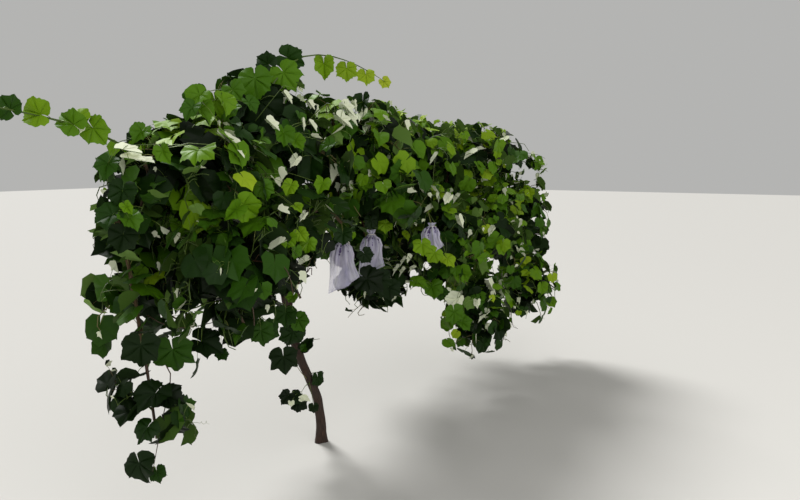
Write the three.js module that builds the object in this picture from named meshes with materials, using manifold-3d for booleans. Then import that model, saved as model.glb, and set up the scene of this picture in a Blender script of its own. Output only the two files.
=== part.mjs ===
// A whole grapevine, spur trained on two arms: leaning trunk, fork, two cordons, foliage and bagged fruit.
// Millimetres, +Z up. The origin is the middle of the flat cut at ground level; +X runs along the row.
import * as THREE from 'three';
import { mergeVertices } from 'three/addons/utils/BufferGeometryUtils.js';
import Module from 'manifold-3d';

const wasm = await Module();
wasm.setup();

// Trunk and fork
const FORK = new THREE.Vector3(-240, -5, 740);
const TRUNK_RADIUS = 23;
const TRUNK_TOP_RADIUS = 20;
const FORK_RADIUS = 31;
const HEAD_HEIGHT = 45;
const FLARE_RADIUS = 13;
const FLARE_HEIGHT = 60;
const FLARE_LOBES = 0.35;
const TRUNK_SIDES = 13;
const TRUNK_STEPS = 13;

// Arms and cordons
const CORDON_HEIGHT = 1205;
const CORDON_Y = 15;
const LEFT_BEND_X = -540;
const RIGHT_BEND_X = -20;
const LEFT_END_X = -1160;
const RIGHT_END_X = 2090;
const ARM_RISE = [[0.16, 0.33], [0.46, 0.72]];
const ARM_START_SPREAD = 9;
const ARM_START_SINK = 8;
const BEND_DROP = 38;
const CORDON_POINT_PITCH = 300;
const ARM_RADIUS = 17;
const CORDON_TIP_RADIUS = 9;
const CORDON_WAVE = 12;
const CORDON_WAVELENGTH = 900;
const ARM_SIDES = 9;
const ARM_STEPS = 7;
const LEFT_CORDON_STEPS = 7;
const RIGHT_CORDON_STEPS = 16;

// Boughs, twigs and leaves
const BOUGH_RADIUS = 8;
const BOUGH_TIP_RADIUS = 7;
const BOUGH_SIDES = 5;
const BOUGH_STEPS = 3;
const BOUGH_MIN_LENGTH = 110;
const BOUGH_ARCH = 0.1;
const ENTRY_DEPTH = 0.85;
const STEM_RADIUS = 8;
const SHOOT_RADIUS = 6.5;
const TWIG_TIP_RADIUS = 5;
const TWIG_SIDES = 3;
const STEM_REACH = 0.45;
const SHOOTS = 7;
const SHOOT_ZONE = [0.3, 0.95];
const SHOOT_FREE = 0.15;
const TWIG_STEPS = 2;
const SHOOT_REACH = 0.9;
const CREST_REACH = 1.15;
const PROUD = 1.08;
const ARCH = 0.5;
const LEAF_PITCH = 62;
const LEAF_LENGTH = 205;
const LEAF_THICKNESS = 5;
const LEAF_SINK = 1.5;
const LEAF_TRIES = 14;
const LEAF_LARGEST = 1.1;
const LEAF_SHRINK = 0.3;
const SHOOT_TRIES = 5;
const SHOOT_SHORTEST = 0.92;
const SHOOT_SPREAD = 0.14;
const SHOOT_RETREAT = 0.07;
const TOP_SHOOT = 0.4;
const STEM_HANDLE = 0.4;
const LEAVES_PER_MASS = 21;
const GOLDEN_ANGLE = Math.PI * (3 - Math.sqrt(5));

// Shape of a leaf, in shares of its length: bare stalk, width, widest place, ridge, and how far it curls
const LEAF_STALK = 0.14;
const LEAF_WIDTH = 0.94;
const LEAF_WIDEST = 0.42;
const LEAF_RIDGE_PLACE = 0.3;
const LEAF_RIDGE = 0.03;
const LEAF_SIDE_CURL = 0.05;
const LEAF_TIP_CURL = 0.1;

// How a leaf is set: its face looks outward and up, its tip spreads from the twig and hangs
const FACE_OUTWARD = 0.6;
const FACE_UP = 0.45;
const FACE_STRAY = 1.1;
const BLADE_FORWARD = 0.3;
const BLADE_SIDEWAYS = 0.7;
const BLADE_INWARD = 0.25;
const BLADE_HANG = 0.45;
const KEEP_SIDE = 0.75;

// Clearances: between neighbouring pieces, and round what a leaf must not touch
const GAP = 0.3;
const LEAF_CLEARANCE = 1.5;

// Crown: bays along the row, each with the top of its crown and the foot of its front curtain
const CROWN_Y = -20;
const CROWN_DEPTH = 395;
const CURTAIN_Y = 290;
const CURTAIN_DEPTH = 240;
const CURTAIN_TOP = 1265;
const CURTAIN_MIN_HEIGHT = 300;
const FRONT_ROOT_SHIFT = 75;
const CURTAIN_WIDTH = 300;
const BAYS = [
  { name: 'left_end', x: -850, width: 300, top: 1590, crownFoot: 1090, curtainX: -830, foot: 640 },
  { name: 'left', x: -400, width: 330, top: 1900, crownFoot: 1090, curtainX: -500, foot: 690 },
  { name: 'middle', x: 170, width: 350, top: 1840, crownFoot: 1120, curtainX: 170, foot: 1060 },
  { name: 'right', x: 780, width: 350, top: 1810, crownFoot: 1110, curtainX: 750, foot: 610 },
  { name: 'far', x: 1400, width: 350, top: 1790, crownFoot: 1110, curtainX: 1400, foot: 620 },
  { name: 'far_end', x: 2020, width: 350, top: 1770, crownFoot: 1090, curtainX: 2010, foot: 620 },
];
const BACKS = [
  { name: 'left', x: -800, foot: 610 },
  { name: 'middle', x: 30, foot: 860 },
  { name: 'right', x: 860, foot: 560 },
  { name: 'far', x: 1700, foot: 580 },
];
const BACK_WIDTH = 410;

// Shoots that hang below the cordons: where each leaves its cordon, its middle and its reach
const SKIRTS = [
  { name: 'left', rootX: -1120, centre: [-1075, -90, 540], reach: [170, 170, 270] },
  { name: 'middle', rootX: 330, centre: [480, -30, 720], reach: [270, 190, 190] },
  { name: 'near', rootX: 1110, centre: [1050, -390, 500], reach: [290, 200, 280] },
  { name: 'far', rootX: 1715, centre: [1900, -370, 490], reach: [310, 210, 290] },
];
const SKIRT_LEAF_LENGTH = 165;

// Long canes that stand out of the crown: root on the cordon, then start, two handles and end of the run
const CANE_STEPS = 10;
const CANE_FOOT_HANDLE = 0.35;
const CANE_FIRST_LEAF = 0.8;
const CANE_LAST_LEAF = 0.99;
const CANES = [
  {
    name: 'left',
    seed: 102,
    rootX: -1010,
    run: [[-1050, -60, 1390], [-1180, -90, 1520], [-1500, -160, 1605], [-1790, -180, 1530]],
    leafLengths: [150, 175, 180, 165, 150, 120],
  },
  {
    name: 'top',
    seed: 119,
    rootX: -500,
    run: [[-455, -90, 1610], [-400, -130, 1960], [200, -50, 1915], [640, -20, 1812]],
    leafLengths: [170, 185, 180, 160, 140, 115, 90],
  },
];

// Sprouts low on the trunk: height on the trunk, side they leave it, length of the shoot and its leaves
const SPROUT_ZONE = [0.45, 0.97];
const SPROUT_STEPS = 4;
const SPROUT_DROOP = 0.15;
const SPROUT_FACE_LIFT = 0.3;
const SPROUTS = [
  { name: 'upper', height: 600, side: [0.55, -0.8, 0.25], length: 110, leaves: 3, leafLength: 120 },
  { name: 'middle', height: 560, side: [-0.25, 1, -0.35], length: 90, leaves: 3, leafLength: 150 },
  { name: 'lower', height: 330, side: [-0.75, 0.65, -0.25], length: 150, leaves: 4, leafLength: 105 },
];

// Fruit bags: root of the bearing shoot on the cordon, top of the bag, its width and height
const BAGS = [
  { name: 'left', rootX: -60, top: [-75, -225, 1050], width: 150, height: 235, turn: 0.35 },
  { name: 'middle', rootX: 225, top: [140, -215, 1060], width: 150, height: 210, turn: -0.3 },
  { name: 'right', rootX: 420, top: [453, -385, 1082], width: 130, height: 185, turn: 0.2 },
];
const BAG_PROFILE = [[0, 0], [0.9, 0], [1, 0.12], [0.95, 0.45], [0.62, 0.75], [0.2, 0.9], [0.34, 1], [0, 1]];
const BAG_FLATNESS = 0.62;
const BAG_SIDES = 10;
const STALK_RADIUS = 4;
const STALK_SIDES = 5;
const STALK_STEPS = 4;
const STALK_HANDLE = 0.5;
const STALK_SINK = 0.15;
const BEARER_DROP = 55;
const BEARER_ARCH = 0.22;
const BEARER_LEAN = 0.06;

const UP = new THREE.Vector3(0, 0, 1);
const DOWN = new THREE.Vector3(0, 0, -1);
const CANE_OUTWARD = new THREE.Vector3(0, -Math.SQRT1_2, Math.SQRT1_2);

// Seeds of the masses: one after another in planting order, but for these
const FIRST_SEED = 101;
const OTHER_SEEDS = { front_left_end: 201, front_far: 203 };

// Finishes
const bark = new THREE.MeshStandardMaterial({ color: 0x4a3a2e, roughness: 0.95, metalness: 0 });
const youngWood = new THREE.MeshStandardMaterial({ color: 0x8a6f48, roughness: 0.8, metalness: 0 });
const foliage = new THREE.MeshStandardMaterial({ color: 0x4f8a24, roughness: 0.6, metalness: 0 });
const youngFoliage = new THREE.MeshStandardMaterial({ color: 0x8fae2c, roughness: 0.6, metalness: 0 });
const bagCloth = new THREE.MeshStandardMaterial({ color: 0xe6e4ea, roughness: 0.7, metalness: 0 });

/** Repeatable random numbers from 0 to 1: the same seed always grows the same foliage. */
function seeded(seed) {
  let state = seed >>> 0;
  return () => {
    state = (state + 0x6d2b79f5) >>> 0;
    let mixed = Math.imul(state ^ (state >>> 15), state | 1);
    mixed ^= mixed + Math.imul(mixed ^ (mixed >>> 7), mixed | 61);
    return ((mixed ^ (mixed >>> 14)) >>> 0) / 4294967296;
  };
}

/** Turns a closed geometry into a solid that can be joined and cut. */
function toSolid(geometry) {
  const bare = geometry.clone();
  bare.deleteAttribute('normal');
  bare.deleteAttribute('uv');
  const merged = mergeVertices(bare, 1e-4);
  return new wasm.Manifold(new wasm.Mesh({
    numProp: 3,
    vertProperties: new Float32Array(merged.attributes.position.array),
    triVerts: new Uint32Array(merged.index.array),
  }));
}

/** Turns a solid back into a geometry. */
function toGeometry(solid) {
  const mesh = solid.getMesh();
  const geometry = new THREE.BufferGeometry();
  geometry.setAttribute('position', new THREE.BufferAttribute(new Float32Array(mesh.vertProperties), 3));
  geometry.setIndex(new THREE.BufferAttribute(new Uint32Array(mesh.triVerts), 1));
  geometry.computeVertexNormals();
  return geometry;
}

/** Keeps the largest body of a solid: loose scraps are dropped and sealed hollows are filled. */
function largestBody(solid) {
  return solid.decompose().reduce((best, body) => (body.volume() > best.volume() ? body : best));
}

/**
 * Closed tube along a curve; radiusAt(along, angle) gives its radius, along running from 0 to 1.
 * With levelStart its first ring lies level, as a cut at the ground does.
 */
function tube(curve, steps, sides, radiusAt, levelStart = false) {
  const frames = curve.computeFrenetFrames(steps, false);
  const positions = [];
  const faces = [];
  for (let ring = 0; ring <= steps; ring += 1) {
    const middle = curve.getPointAt(ring / steps);
    for (let side = 0; side < sides; side += 1) {
      const angle = (2 * Math.PI * side) / sides;
      const radius = radiusAt(ring / steps, angle);
      const corner = middle.clone()
        .addScaledVector(frames.normals[ring], radius * Math.cos(angle))
        .addScaledVector(frames.binormals[ring], radius * Math.sin(angle));
      if (levelStart && ring === 0) {
        corner.z = middle.z;
      }
      positions.push(corner.x, corner.y, corner.z);
      const next = (side + 1) % sides;
      if (ring < steps) {
        const here = ring * sides;
        const above = here + sides;
        faces.push(here + side, here + next, above + next, here + side, above + next, above + side);
      }
    }
  }
  const top = steps * sides;
  for (let side = 1; side < sides - 1; side += 1) {
    faces.push(0, side + 1, side, top, top + side, top + side + 1);
  }
  const geometry = new THREE.BufferGeometry();
  geometry.setAttribute('position', new THREE.Float32BufferAttribute(positions, 3));
  geometry.setIndex(faces);
  return toSolid(geometry);
}

/** Tube that tapers evenly from one radius to another, made larger all over by grow. */
function taperedTube(curve, steps, sides, fromRadius, toRadius, grow = 0) {
  return tube(curve, steps, sides, (along) => THREE.MathUtils.lerp(fromRadius, toRadius, along) + grow);
}

/** Piece of a curve between two shares of its length, as a curve of its own. */
function stretch(curve, from, to, points = 12) {
  const list = [];
  for (let index = 0; index <= points; index += 1) {
    list.push(curve.getPointAt(THREE.MathUtils.lerp(from, to, index / points)));
  }
  return new THREE.CatmullRomCurve3(list);
}

/** Share of a curve's length at which it passes a place on one axis. */
function shareWhere(curve, axis, place) {
  const rising = curve.getPointAt(1)[axis] > curve.getPointAt(0)[axis];
  let low = 0;
  let high = 1;
  for (let round = 0; round < 30; round += 1) {
    const middle = (low + high) / 2;
    if ((curve.getPointAt(middle)[axis] < place) === rising) {
      low = middle;
    } else {
      high = middle;
    }
  }
  return low;
}

/** A point moved by a distance along a direction. */
function moved(point, direction, distance) {
  return point.clone().addScaledVector(direction, distance);
}

// Limb curves

/** The trunk stands upright on its cut, leans away as it climbs and straightens into the fork. */
function trunkCurve() {
  return new THREE.CatmullRomCurve3([
    new THREE.Vector3(0, 0, 0),
    new THREE.Vector3(0, 0, 30),
    new THREE.Vector3(-30, -9, 215),
    new THREE.Vector3(-138, -10, 425),
    new THREE.Vector3(-222, -10, 610),
    FORK,
  ]);
}

/** One side's limb: it climbs from the fork to its bend and runs on as the cordon, gently waved. */
function sideCurve(bendX, endX) {
  const spread = Math.sign(bendX - FORK.x) * ARM_START_SPREAD;
  const points = [FORK.clone().add(new THREE.Vector3(spread, 0, -ARM_START_SINK))];
  for (const [across, rise] of ARM_RISE) {
    points.push(new THREE.Vector3(
      THREE.MathUtils.lerp(FORK.x, bendX, across),
      THREE.MathUtils.lerp(FORK.y, CORDON_Y, across),
      THREE.MathUtils.lerp(FORK.z, CORDON_HEIGHT, rise),
    ));
  }
  points.push(new THREE.Vector3(bendX, CORDON_Y, CORDON_HEIGHT - BEND_DROP));
  const pieces = Math.ceil(Math.abs(endX - bendX) / CORDON_POINT_PITCH);
  for (let piece = 1; piece <= pieces; piece += 1) {
    const x = THREE.MathUtils.lerp(bendX, endX, piece / pieces);
    const wave = Math.sin((2 * Math.PI * (x - bendX)) / CORDON_WAVELENGTH);
    points.push(new THREE.Vector3(x, CORDON_Y - CORDON_WAVE * wave, CORDON_HEIGHT + CORDON_WAVE * wave));
  }
  return new THREE.CatmullRomCurve3(points);
}

const trunkLine = trunkCurve();
const leftLine = sideCurve(LEFT_BEND_X, LEFT_END_X);
const rightLine = sideCurve(RIGHT_BEND_X, RIGHT_END_X);

/** Point on the axis of the arm or cordon at a place along the row. */
function rootPoint(x) {
  const line = x < FORK.x ? leftLine : rightLine;
  return line.getPointAt(shareWhere(line, 'x', x));
}

// Woody solids

/** The trunk: even taper, a lobed flare at its flat cut and a swollen head at the fork. */
function makeTrunk(grow = 0) {
  const length = trunkLine.getLength();
  return tube(trunkLine, TRUNK_STEPS, TRUNK_SIDES, (along, angle) => {
    const height = along * length;
    const flare = FLARE_RADIUS * Math.exp(-height / FLARE_HEIGHT) * (1 + FLARE_LOBES * Math.cos(3 * angle));
    const head = (FORK_RADIUS - TRUNK_TOP_RADIUS) * Math.exp((height - length) / HEAD_HEIGHT);
    return THREE.MathUtils.lerp(TRUNK_RADIUS, TRUNK_TOP_RADIUS, along) + flare + head + grow;
  }, true);
}

/** An arm or cordon: the stretch of one side's limb between two shares of its length. */
function makeLimb(line, from, to, steps, grow = 0) {
  const part = stretch(line, from, to);
  const radiusAt = (share) => THREE.MathUtils.lerp(ARM_RADIUS, CORDON_TIP_RADIUS, share);
  return taperedTube(part, steps, ARM_SIDES, radiusAt(from), radiusAt(to), grow);
}

/** Arm and cordon of one side, split at the bend with the standing gap between their cut faces. */
function makeSide(line, bendX, steps, grow = 0) {
  const bend = shareWhere(line, 'x', bendX);
  const gapShare = GAP / line.getLength();
  const armRoom = makeLimb(line, 0, bend + gapShare, ARM_STEPS, grow + 1);
  return [
    makeLimb(line, 0, bend, ARM_STEPS, grow),
    largestBody(makeLimb(line, bend - gapShare, 1, steps, grow).subtract(armRoom)),
  ];
}

// What has been made so far, what later leaves keep clear of, and the spaces of the foliage
const parts = [];
const obstacles = [];
const spaces = [];

/** A solid with its box, as the clearance test wants it. */
function note(solid) {
  return { solid, box: solid.boundingBox() };
}

/** Adds a finished piece to the plant, and to what later leaves and twigs keep clear of. */
function addPart(name, solid, material) {
  parts.push({ name, solid, material });
  obstacles.push(note(solid));
}

/** True where a solid touches none of the others. */
function isClear(solid, others) {
  const box = solid.boundingBox();
  return others.every((other) => {
    const { min, max } = other.box;
    const apart = [0, 1, 2].some((axis) => box.min[axis] > max[axis] || box.max[axis] < min[axis]);
    return apart || solid.intersect(other.solid).isEmpty();
  });
}

// Room that trunk, arms and cordons keep to themselves: their own solids, larger by the gap
const trunkRoom = makeTrunk(GAP);
const leftRoom = makeSide(leftLine, LEFT_BEND_X, LEFT_CORDON_STEPS, GAP);
const rightRoom = makeSide(rightLine, RIGHT_BEND_X, RIGHT_CORDON_STEPS, GAP);
const limbRoom = [...leftRoom, ...rightRoom].reduce((all, limb) => all.add(limb));

/** A short bough from the cordon: one tapering limb, cut clear of the limb that carries it. */
function addBough(name, curve) {
  const solid = taperedTube(curve, BOUGH_STEPS, BOUGH_SIDES, BOUGH_RADIUS, BOUGH_TIP_RADIUS);
  addPart(name, largestBody(solid.subtract(limbRoom)), youngWood);
  return { tip: curve.getPointAt(1), direction: curve.getTangentAt(1) };
}

// Foliage

/** The space of one mass of leaves: an ellipsoid that it shares with no other mass. */
class Space {
  constructor(name, centre, reach, aim, leafLength) {
    this.name = name;
    this.centre = new THREE.Vector3(...centre);
    this.reach = new THREE.Vector3(...reach);
    this.aim = aim;
    this.leafLength = leafLength;
  }

  /** 0 at the middle of the space, 1 on its skin. */
  depth(point) {
    return point.clone().sub(this.centre).divide(this.reach).length();
  }

  /** Point in a direction from the middle, at a share of the reach. */
  at(direction, share) {
    return direction.clone().multiply(this.reach).multiplyScalar(share).add(this.centre);
  }

  /** Direction that points out of the space at a point. */
  outward(point) {
    return point.clone().sub(this.centre).divide(this.reach).divide(this.reach).normalize();
  }

  /** True where a point is inside this space, or just proud of it, and deeper in it than in any other. */
  holds(point) {
    const own = this.depth(point);
    return own <= PROUD && spaces.every((other) => other === this || other.depth(point) > own);
  }
}

/** Corners of one leaf: root, right, tip, left, and the top and underside of its middle. */
function leafCorners(node, direction, face, length, grow = 0, start = -LEAF_SINK / length) {
  const across = direction.clone().cross(face);
  const place = (along, sideways, lift) => node.clone()
    .addScaledVector(direction, along * length)
    .addScaledVector(across, sideways * length)
    .addScaledVector(face, lift * length);
  const thick = (LEAF_THICKNESS / 2 + grow) / length;
  const wide = LEAF_WIDTH / 2 + grow / length;
  return [
    place(start, 0, 0),
    place(LEAF_WIDEST, wide, -LEAF_SIDE_CURL),
    place(1 + grow / length, 0, -LEAF_TIP_CURL),
    place(LEAF_WIDEST, -wide, -LEAF_SIDE_CURL),
    place(LEAF_RIDGE_PLACE, 0, LEAF_RIDGE + thick),
    place(LEAF_RIDGE_PLACE, 0, LEAF_RIDGE - thick),
  ];
}

/** Closed solid of one leaf: four faces above and four below. */
function leafSolid(corners) {
  const geometry = new THREE.BufferGeometry();
  geometry.setAttribute('position', new THREE.Float32BufferAttribute(corners.flatMap((c) => c.toArray()), 3));
  geometry.setIndex([0, 1, 4, 1, 2, 4, 2, 3, 4, 3, 0, 4, 1, 0, 5, 2, 1, 5, 3, 2, 5, 0, 3, 5]);
  return toSolid(geometry);
}

/** Finds a leaf for a node that keeps its space and touches nothing but its own twig, in a few tries. */
function findLeaf(own, place, length, space, draw) {
  const { point, tangent, outward, side } = place;
  for (let attempt = 0; attempt < LEAF_TRIES; attempt += 1) {
    const stray = new THREE.Vector3(draw() - 0.5, draw() - 0.5, draw() - 0.5);
    const size = length * (LEAF_LARGEST - (LEAF_SHRINK * attempt) / LEAF_TRIES);
    const turn = draw() < KEEP_SIDE ? side : -side;
    const face = outward.clone().multiplyScalar(FACE_OUTWARD)
      .addScaledVector(UP, FACE_UP)
      .addScaledVector(stray, FACE_STRAY)
      .normalize();
    const direction = tangent.clone().multiplyScalar(BLADE_FORWARD)
      .addScaledVector(tangent.clone().cross(face), turn * BLADE_SIDEWAYS)
      .addScaledVector(outward, -BLADE_INWARD)
      .addScaledVector(UP, -BLADE_HANG);
    direction.addScaledVector(face, -direction.dot(face)).normalize();
    const corners = leafCorners(point, direction, face, size);
    const held = !space || corners.every((corner) => space.holds(corner));
    if (held && isClear(leafSolid(leafCorners(point, direction, face, size, LEAF_CLEARANCE)), obstacles)) {
      const blade = leafSolid(leafCorners(point, direction, face, size, LEAF_CLEARANCE, LEAF_STALK));
      if (isClear(blade, own)) {
        return leafSolid(corners);
      }
    }
  }
  return null;
}

/** Sets a leaf at a share of a twig's length, if one fits there. */
function setLeaf(own, curve, share, outward, side, length, space, draw) {
  const place = { point: curve.getPointAt(share), tangent: curve.getTangentAt(share), outward, side };
  const leaf = findLeaf(own, place, length, space, draw);
  if (leaf) {
    own.push(note(leaf));
  }
}

/** Finds an arching shoot from the stem towards one side of the space, clear of all that is there. */
function findShoot(own, stemCurve, out, space, draw) {
  for (let attempt = 0; attempt < SHOOT_TRIES; attempt += 1) {
    const root = stemCurve.getPointAt(THREE.MathUtils.lerp(...SHOOT_ZONE, draw()));
    const crest = space.at(out.clone().addScaledVector(UP, ARCH).normalize(), CREST_REACH);
    const share = SHOOT_SHORTEST + SHOOT_SPREAD * draw() - SHOOT_RETREAT * attempt;
    const tip = space.at(out, SHOOT_REACH * share);
    const curve = new THREE.QuadraticBezierCurve3(root, crest, tip);
    if (curve.getPoints(8).every((point) => space.holds(point))) {
      const free = stretch(curve, SHOOT_FREE, 1);
      const room = taperedTube(free, TWIG_STEPS, TWIG_SIDES, SHOOT_RADIUS, TWIG_TIP_RADIUS, LEAF_CLEARANCE);
      if (isClear(room, obstacles) && isClear(room, own)) {
        return curve;
      }
    }
  }
  return null;
}

/** Joins twigs and leaves into one body. */
function fuse(pieces) {
  return largestBody(pieces.map((piece) => piece.solid).reduce((all, solid) => all.add(solid)));
}

/** Foliage of one space: a stem from its bough, arching shoots spread by the golden angle, and leaves. */
function growMass(space, seed, bough) {
  const draw = seeded(seed);
  const start = moved(bough.tip, bough.direction, GAP);
  const end = space.at(space.aim, STEM_REACH);
  const handle = moved(start, bough.direction, STEM_HANDLE * start.distanceTo(end));
  const stemCurve = new THREE.QuadraticBezierCurve3(start, handle, end);
  const own = [note(taperedTube(stemCurve, TWIG_STEPS, TWIG_SIDES, STEM_RADIUS, SHOOT_RADIUS))];
  const phase = 2 * Math.PI * draw();
  const shoots = [];
  for (let index = 0; index < SHOOTS; index += 1) {
    const height = 1 - (2 * index + TOP_SHOOT) / SHOOTS;
    const level = Math.sqrt(1 - height * height);
    const turn = index * GOLDEN_ANGLE + phase;
    const out = new THREE.Vector3(level * Math.cos(turn), level * Math.sin(turn), height);
    const shoot = findShoot(own, stemCurve, out, space, draw);
    if (shoot) {
      own.push(note(taperedTube(shoot, TWIG_STEPS, TWIG_SIDES, SHOOT_RADIUS, TWIG_TIP_RADIUS)));
      shoots.push(shoot);
    }
  }
  const rows = Math.max(...shoots.map((shoot) => Math.floor(shoot.getLength() / LEAF_PITCH)));
  const most = own.length + LEAVES_PER_MASS;
  for (let row = 0; row < rows; row += 1) {
    for (const shoot of shoots) {
      const share = 1 - (row * LEAF_PITCH + TWIG_TIP_RADIUS) / shoot.getLength();
      if (share > 0.1 && own.length < most) {
        const outward = space.outward(shoot.getPointAt(share));
        setLeaf(own, shoot, share, outward, row % 2 ? 1 : -1, space.leafLength, space, draw);
      }
    }
  }
  addPart(`foliage_${space.name}`, fuse(own), foliage);
}

/** Bough from the cordon to where it enters a space. */
function boughTo(space, rootX) {
  const root = rootPoint(rootX);
  const share = Math.min(1, ENTRY_DEPTH / space.depth(root));
  const inward = space.centre.clone().sub(root);
  const length = Math.max(inward.length() * (1 - share), BOUGH_MIN_LENGTH);
  const tip = moved(root, inward.normalize(), length);
  const middle = moved(root.clone().lerp(tip, 0.5), UP, BOUGH_ARCH * length);
  return addBough(`bough_${space.name}`, new THREE.CatmullRomCurve3([root, middle, tip]));
}

/** Spaces of the whole crown, each with the place along the row where its bough starts. */
function planSpaces() {
  const plan = [];
  const add = (name, centre, reach, rootX, aim, leafLength = LEAF_LENGTH) => {
    plan.push({ space: new Space(name, centre, reach, aim, leafLength), rootX });
  };
  for (const bay of BAYS) {
    const crownMiddle = (bay.top + bay.crownFoot) / 2;
    const crownReach = [bay.width, CROWN_DEPTH, bay.top - crownMiddle];
    add(`crown_${bay.name}`, [bay.x, CROWN_Y, crownMiddle], crownReach, bay.x, UP);
    const top = Math.max(CURTAIN_TOP, bay.foot + CURTAIN_MIN_HEIGHT);
    const middle = (top + bay.foot) / 2;
    const reach = [CURTAIN_WIDTH, CURTAIN_DEPTH, top - middle];
    add(`front_${bay.name}`, [bay.curtainX, -CURTAIN_Y, middle], reach, bay.x - FRONT_ROOT_SHIFT, DOWN);
  }
  for (const back of BACKS) {
    const middle = (CURTAIN_TOP + back.foot) / 2;
    const reach = [BACK_WIDTH, CURTAIN_DEPTH, CURTAIN_TOP - middle];
    add(`back_${back.name}`, [back.x, CURTAIN_Y, middle], reach, back.x, DOWN);
  }
  for (const skirt of SKIRTS) {
    add(`skirt_${skirt.name}`, skirt.centre, skirt.reach, skirt.rootX, DOWN, SKIRT_LEAF_LENGTH);
  }
  return plan;
}

/** A long cane on its bough, with one leaf at each node. */
function growCane(cane) {
  const [start, firstHandle, lastHandle, end] = cane.run.map((point) => new THREE.Vector3(...point));
  const direction = firstHandle.clone().sub(start).normalize();
  const root = rootPoint(cane.rootX);
  const rise = CANE_FOOT_HANDLE * start.distanceTo(root);
  const footHandles = [moved(root, UP, rise), moved(start, direction, -rise)];
  addBough(`bough_cane_${cane.name}`, new THREE.CubicBezierCurve3(root, ...footHandles, start));
  const curve = new THREE.CubicBezierCurve3(moved(start, direction, GAP), firstHandle, lastHandle, end);
  const own = [note(taperedTube(curve, CANE_STEPS, TWIG_SIDES, STEM_RADIUS, TWIG_TIP_RADIUS))];
  const draw = seeded(cane.seed);
  cane.leafLengths.forEach((length, index) => {
    const share = Math.min((index + CANE_FIRST_LEAF) / cane.leafLengths.length, CANE_LAST_LEAF);
    setLeaf(own, curve, share, CANE_OUTWARD, index % 2 ? 1 : -1, length, null, draw);
  });
  addPart(`cane_${cane.name}`, fuse(own), youngFoliage);
}

/** A leafy sprout that grows straight from the trunk. */
function growSprout(sprout) {
  const root = trunkLine.getPointAt(shareWhere(trunkLine, 'z', sprout.height));
  const side = new THREE.Vector3(...sprout.side).normalize();
  const end = moved(moved(root, side, TRUNK_RADIUS + sprout.length), UP, -SPROUT_DROOP * sprout.length);
  const middle = moved(root, side, TRUNK_RADIUS + 0.5 * sprout.length);
  const curve = new THREE.CatmullRomCurve3([root, middle, end]);
  const stem = taperedTube(curve, SPROUT_STEPS, TWIG_SIDES, STEM_RADIUS, TWIG_TIP_RADIUS).subtract(trunkRoom);
  const own = [note(largestBody(stem))];
  const draw = seeded(sprout.height);
  const outward = side.clone().setZ(SPROUT_FACE_LIFT).normalize();
  for (let index = 0; index < sprout.leaves; index += 1) {
    const share = THREE.MathUtils.lerp(...SPROUT_ZONE, index / (sprout.leaves - 1));
    setLeaf(own, curve, share, outward, index % 2 ? 1 : -1, sprout.leafLength, null, draw);
  }
  addPart(`sprout_${sprout.name}`, fuse(own), foliage);
}

/** A gathered fruit bag on its stalk: drawn in at the neck, full in the middle, seamed flat at the foot. */
function makeBag(bag, bearer) {
  const [x, y, z] = bag.top;
  const half = bag.width / 2;
  const points = BAG_PROFILE.map(([across, up]) => new THREE.Vector2(across * half, up * bag.height));
  const geometry = new THREE.LatheGeometry(points, BAG_SIDES)
    .rotateX(Math.PI / 2)
    .scale(1, BAG_FLATNESS, 1)
    .rotateZ(bag.turn)
    .translate(x, y, z - bag.height);
  const start = moved(bearer.tip, bearer.direction, GAP);
  const end = new THREE.Vector3(x, y, z - STALK_SINK * bag.height);
  const handle = moved(start, bearer.direction, STALK_HANDLE * start.distanceTo(end));
  const stalk = new THREE.QuadraticBezierCurve3(start, handle, end);
  return toSolid(geometry).add(taperedTube(stalk, STALK_STEPS, STALK_SIDES, STALK_RADIUS, STALK_RADIUS));
}

/** A fruit bag and the bearing shoot that it hangs from. */
function hangBag(bag) {
  const root = rootPoint(bag.rootX);
  const tip = moved(new THREE.Vector3(...bag.top), UP, BEARER_DROP).lerp(root, BEARER_LEAN);
  const middle = moved(root.clone().lerp(tip, 0.55), UP, BEARER_ARCH * root.distanceTo(tip));
  const bearer = addBough(`bough_fruit_${bag.name}`, new THREE.CatmullRomCurve3([root, middle, tip]));
  addPart(`fruit_bag_${bag.name}`, largestBody(makeBag(bag, bearer)), bagCloth);
}

// Trunk, arms and cordons, cut clear of each other at the fork
const forkRoom = trunkRoom.add(trunkRoom.translate([0, 0, GAP]));
const [leftArm, leftCordon] = makeSide(leftLine, LEFT_BEND_X, LEFT_CORDON_STEPS);
const [rightArm, rightCordon] = makeSide(rightLine, RIGHT_BEND_X, RIGHT_CORDON_STEPS);
addPart('trunk', makeTrunk(), bark);
addPart('left_arm', largestBody(leftArm.subtract(forkRoom)), bark);
addPart('left_cordon', leftCordon, bark);
addPart('right_arm', largestBody(rightArm.subtract(forkRoom).subtract(leftRoom[0])), bark);
addPart('right_cordon', rightCordon, bark);

// Every bough stands before any leaf grows, so that leaves keep clear of them all
const plan = planSpaces();
spaces.push(...plan.map(({ space }) => space));
const boughs = plan.map(({ space, rootX }) => boughTo(space, rootX));
CANES.forEach(growCane);
SPROUTS.forEach(growSprout);
BAGS.forEach(hangBag);
plan.forEach(({ space }, index) => {
  growMass(space, OTHER_SEEDS[space.name] ?? FIRST_SEED + index, boughs[index]);
});

const grapevine = new THREE.Group();
for (const { name, solid, material } of parts) {
  const mesh = new THREE.Mesh(toGeometry(solid), material);
  mesh.name = name;
  grapevine.add(mesh);
}

export default grapevine;
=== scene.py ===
"""Looks of the grapevine: bark, canes, leaves, tendrils and bagged fruit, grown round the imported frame.

Lengths are metres in the frame of the part: +X runs along the row, +Z is up, and the origin is the middle of
the flat cut at ground level. Leaves grow in the spaces of the foliage nodes by the rule of the part's source,
carried on to finer shoots.
"""

import logging
import math
from collections.abc import Iterable, Sequence
from dataclasses import dataclass, field, fields, replace
from enum import Enum

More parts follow.
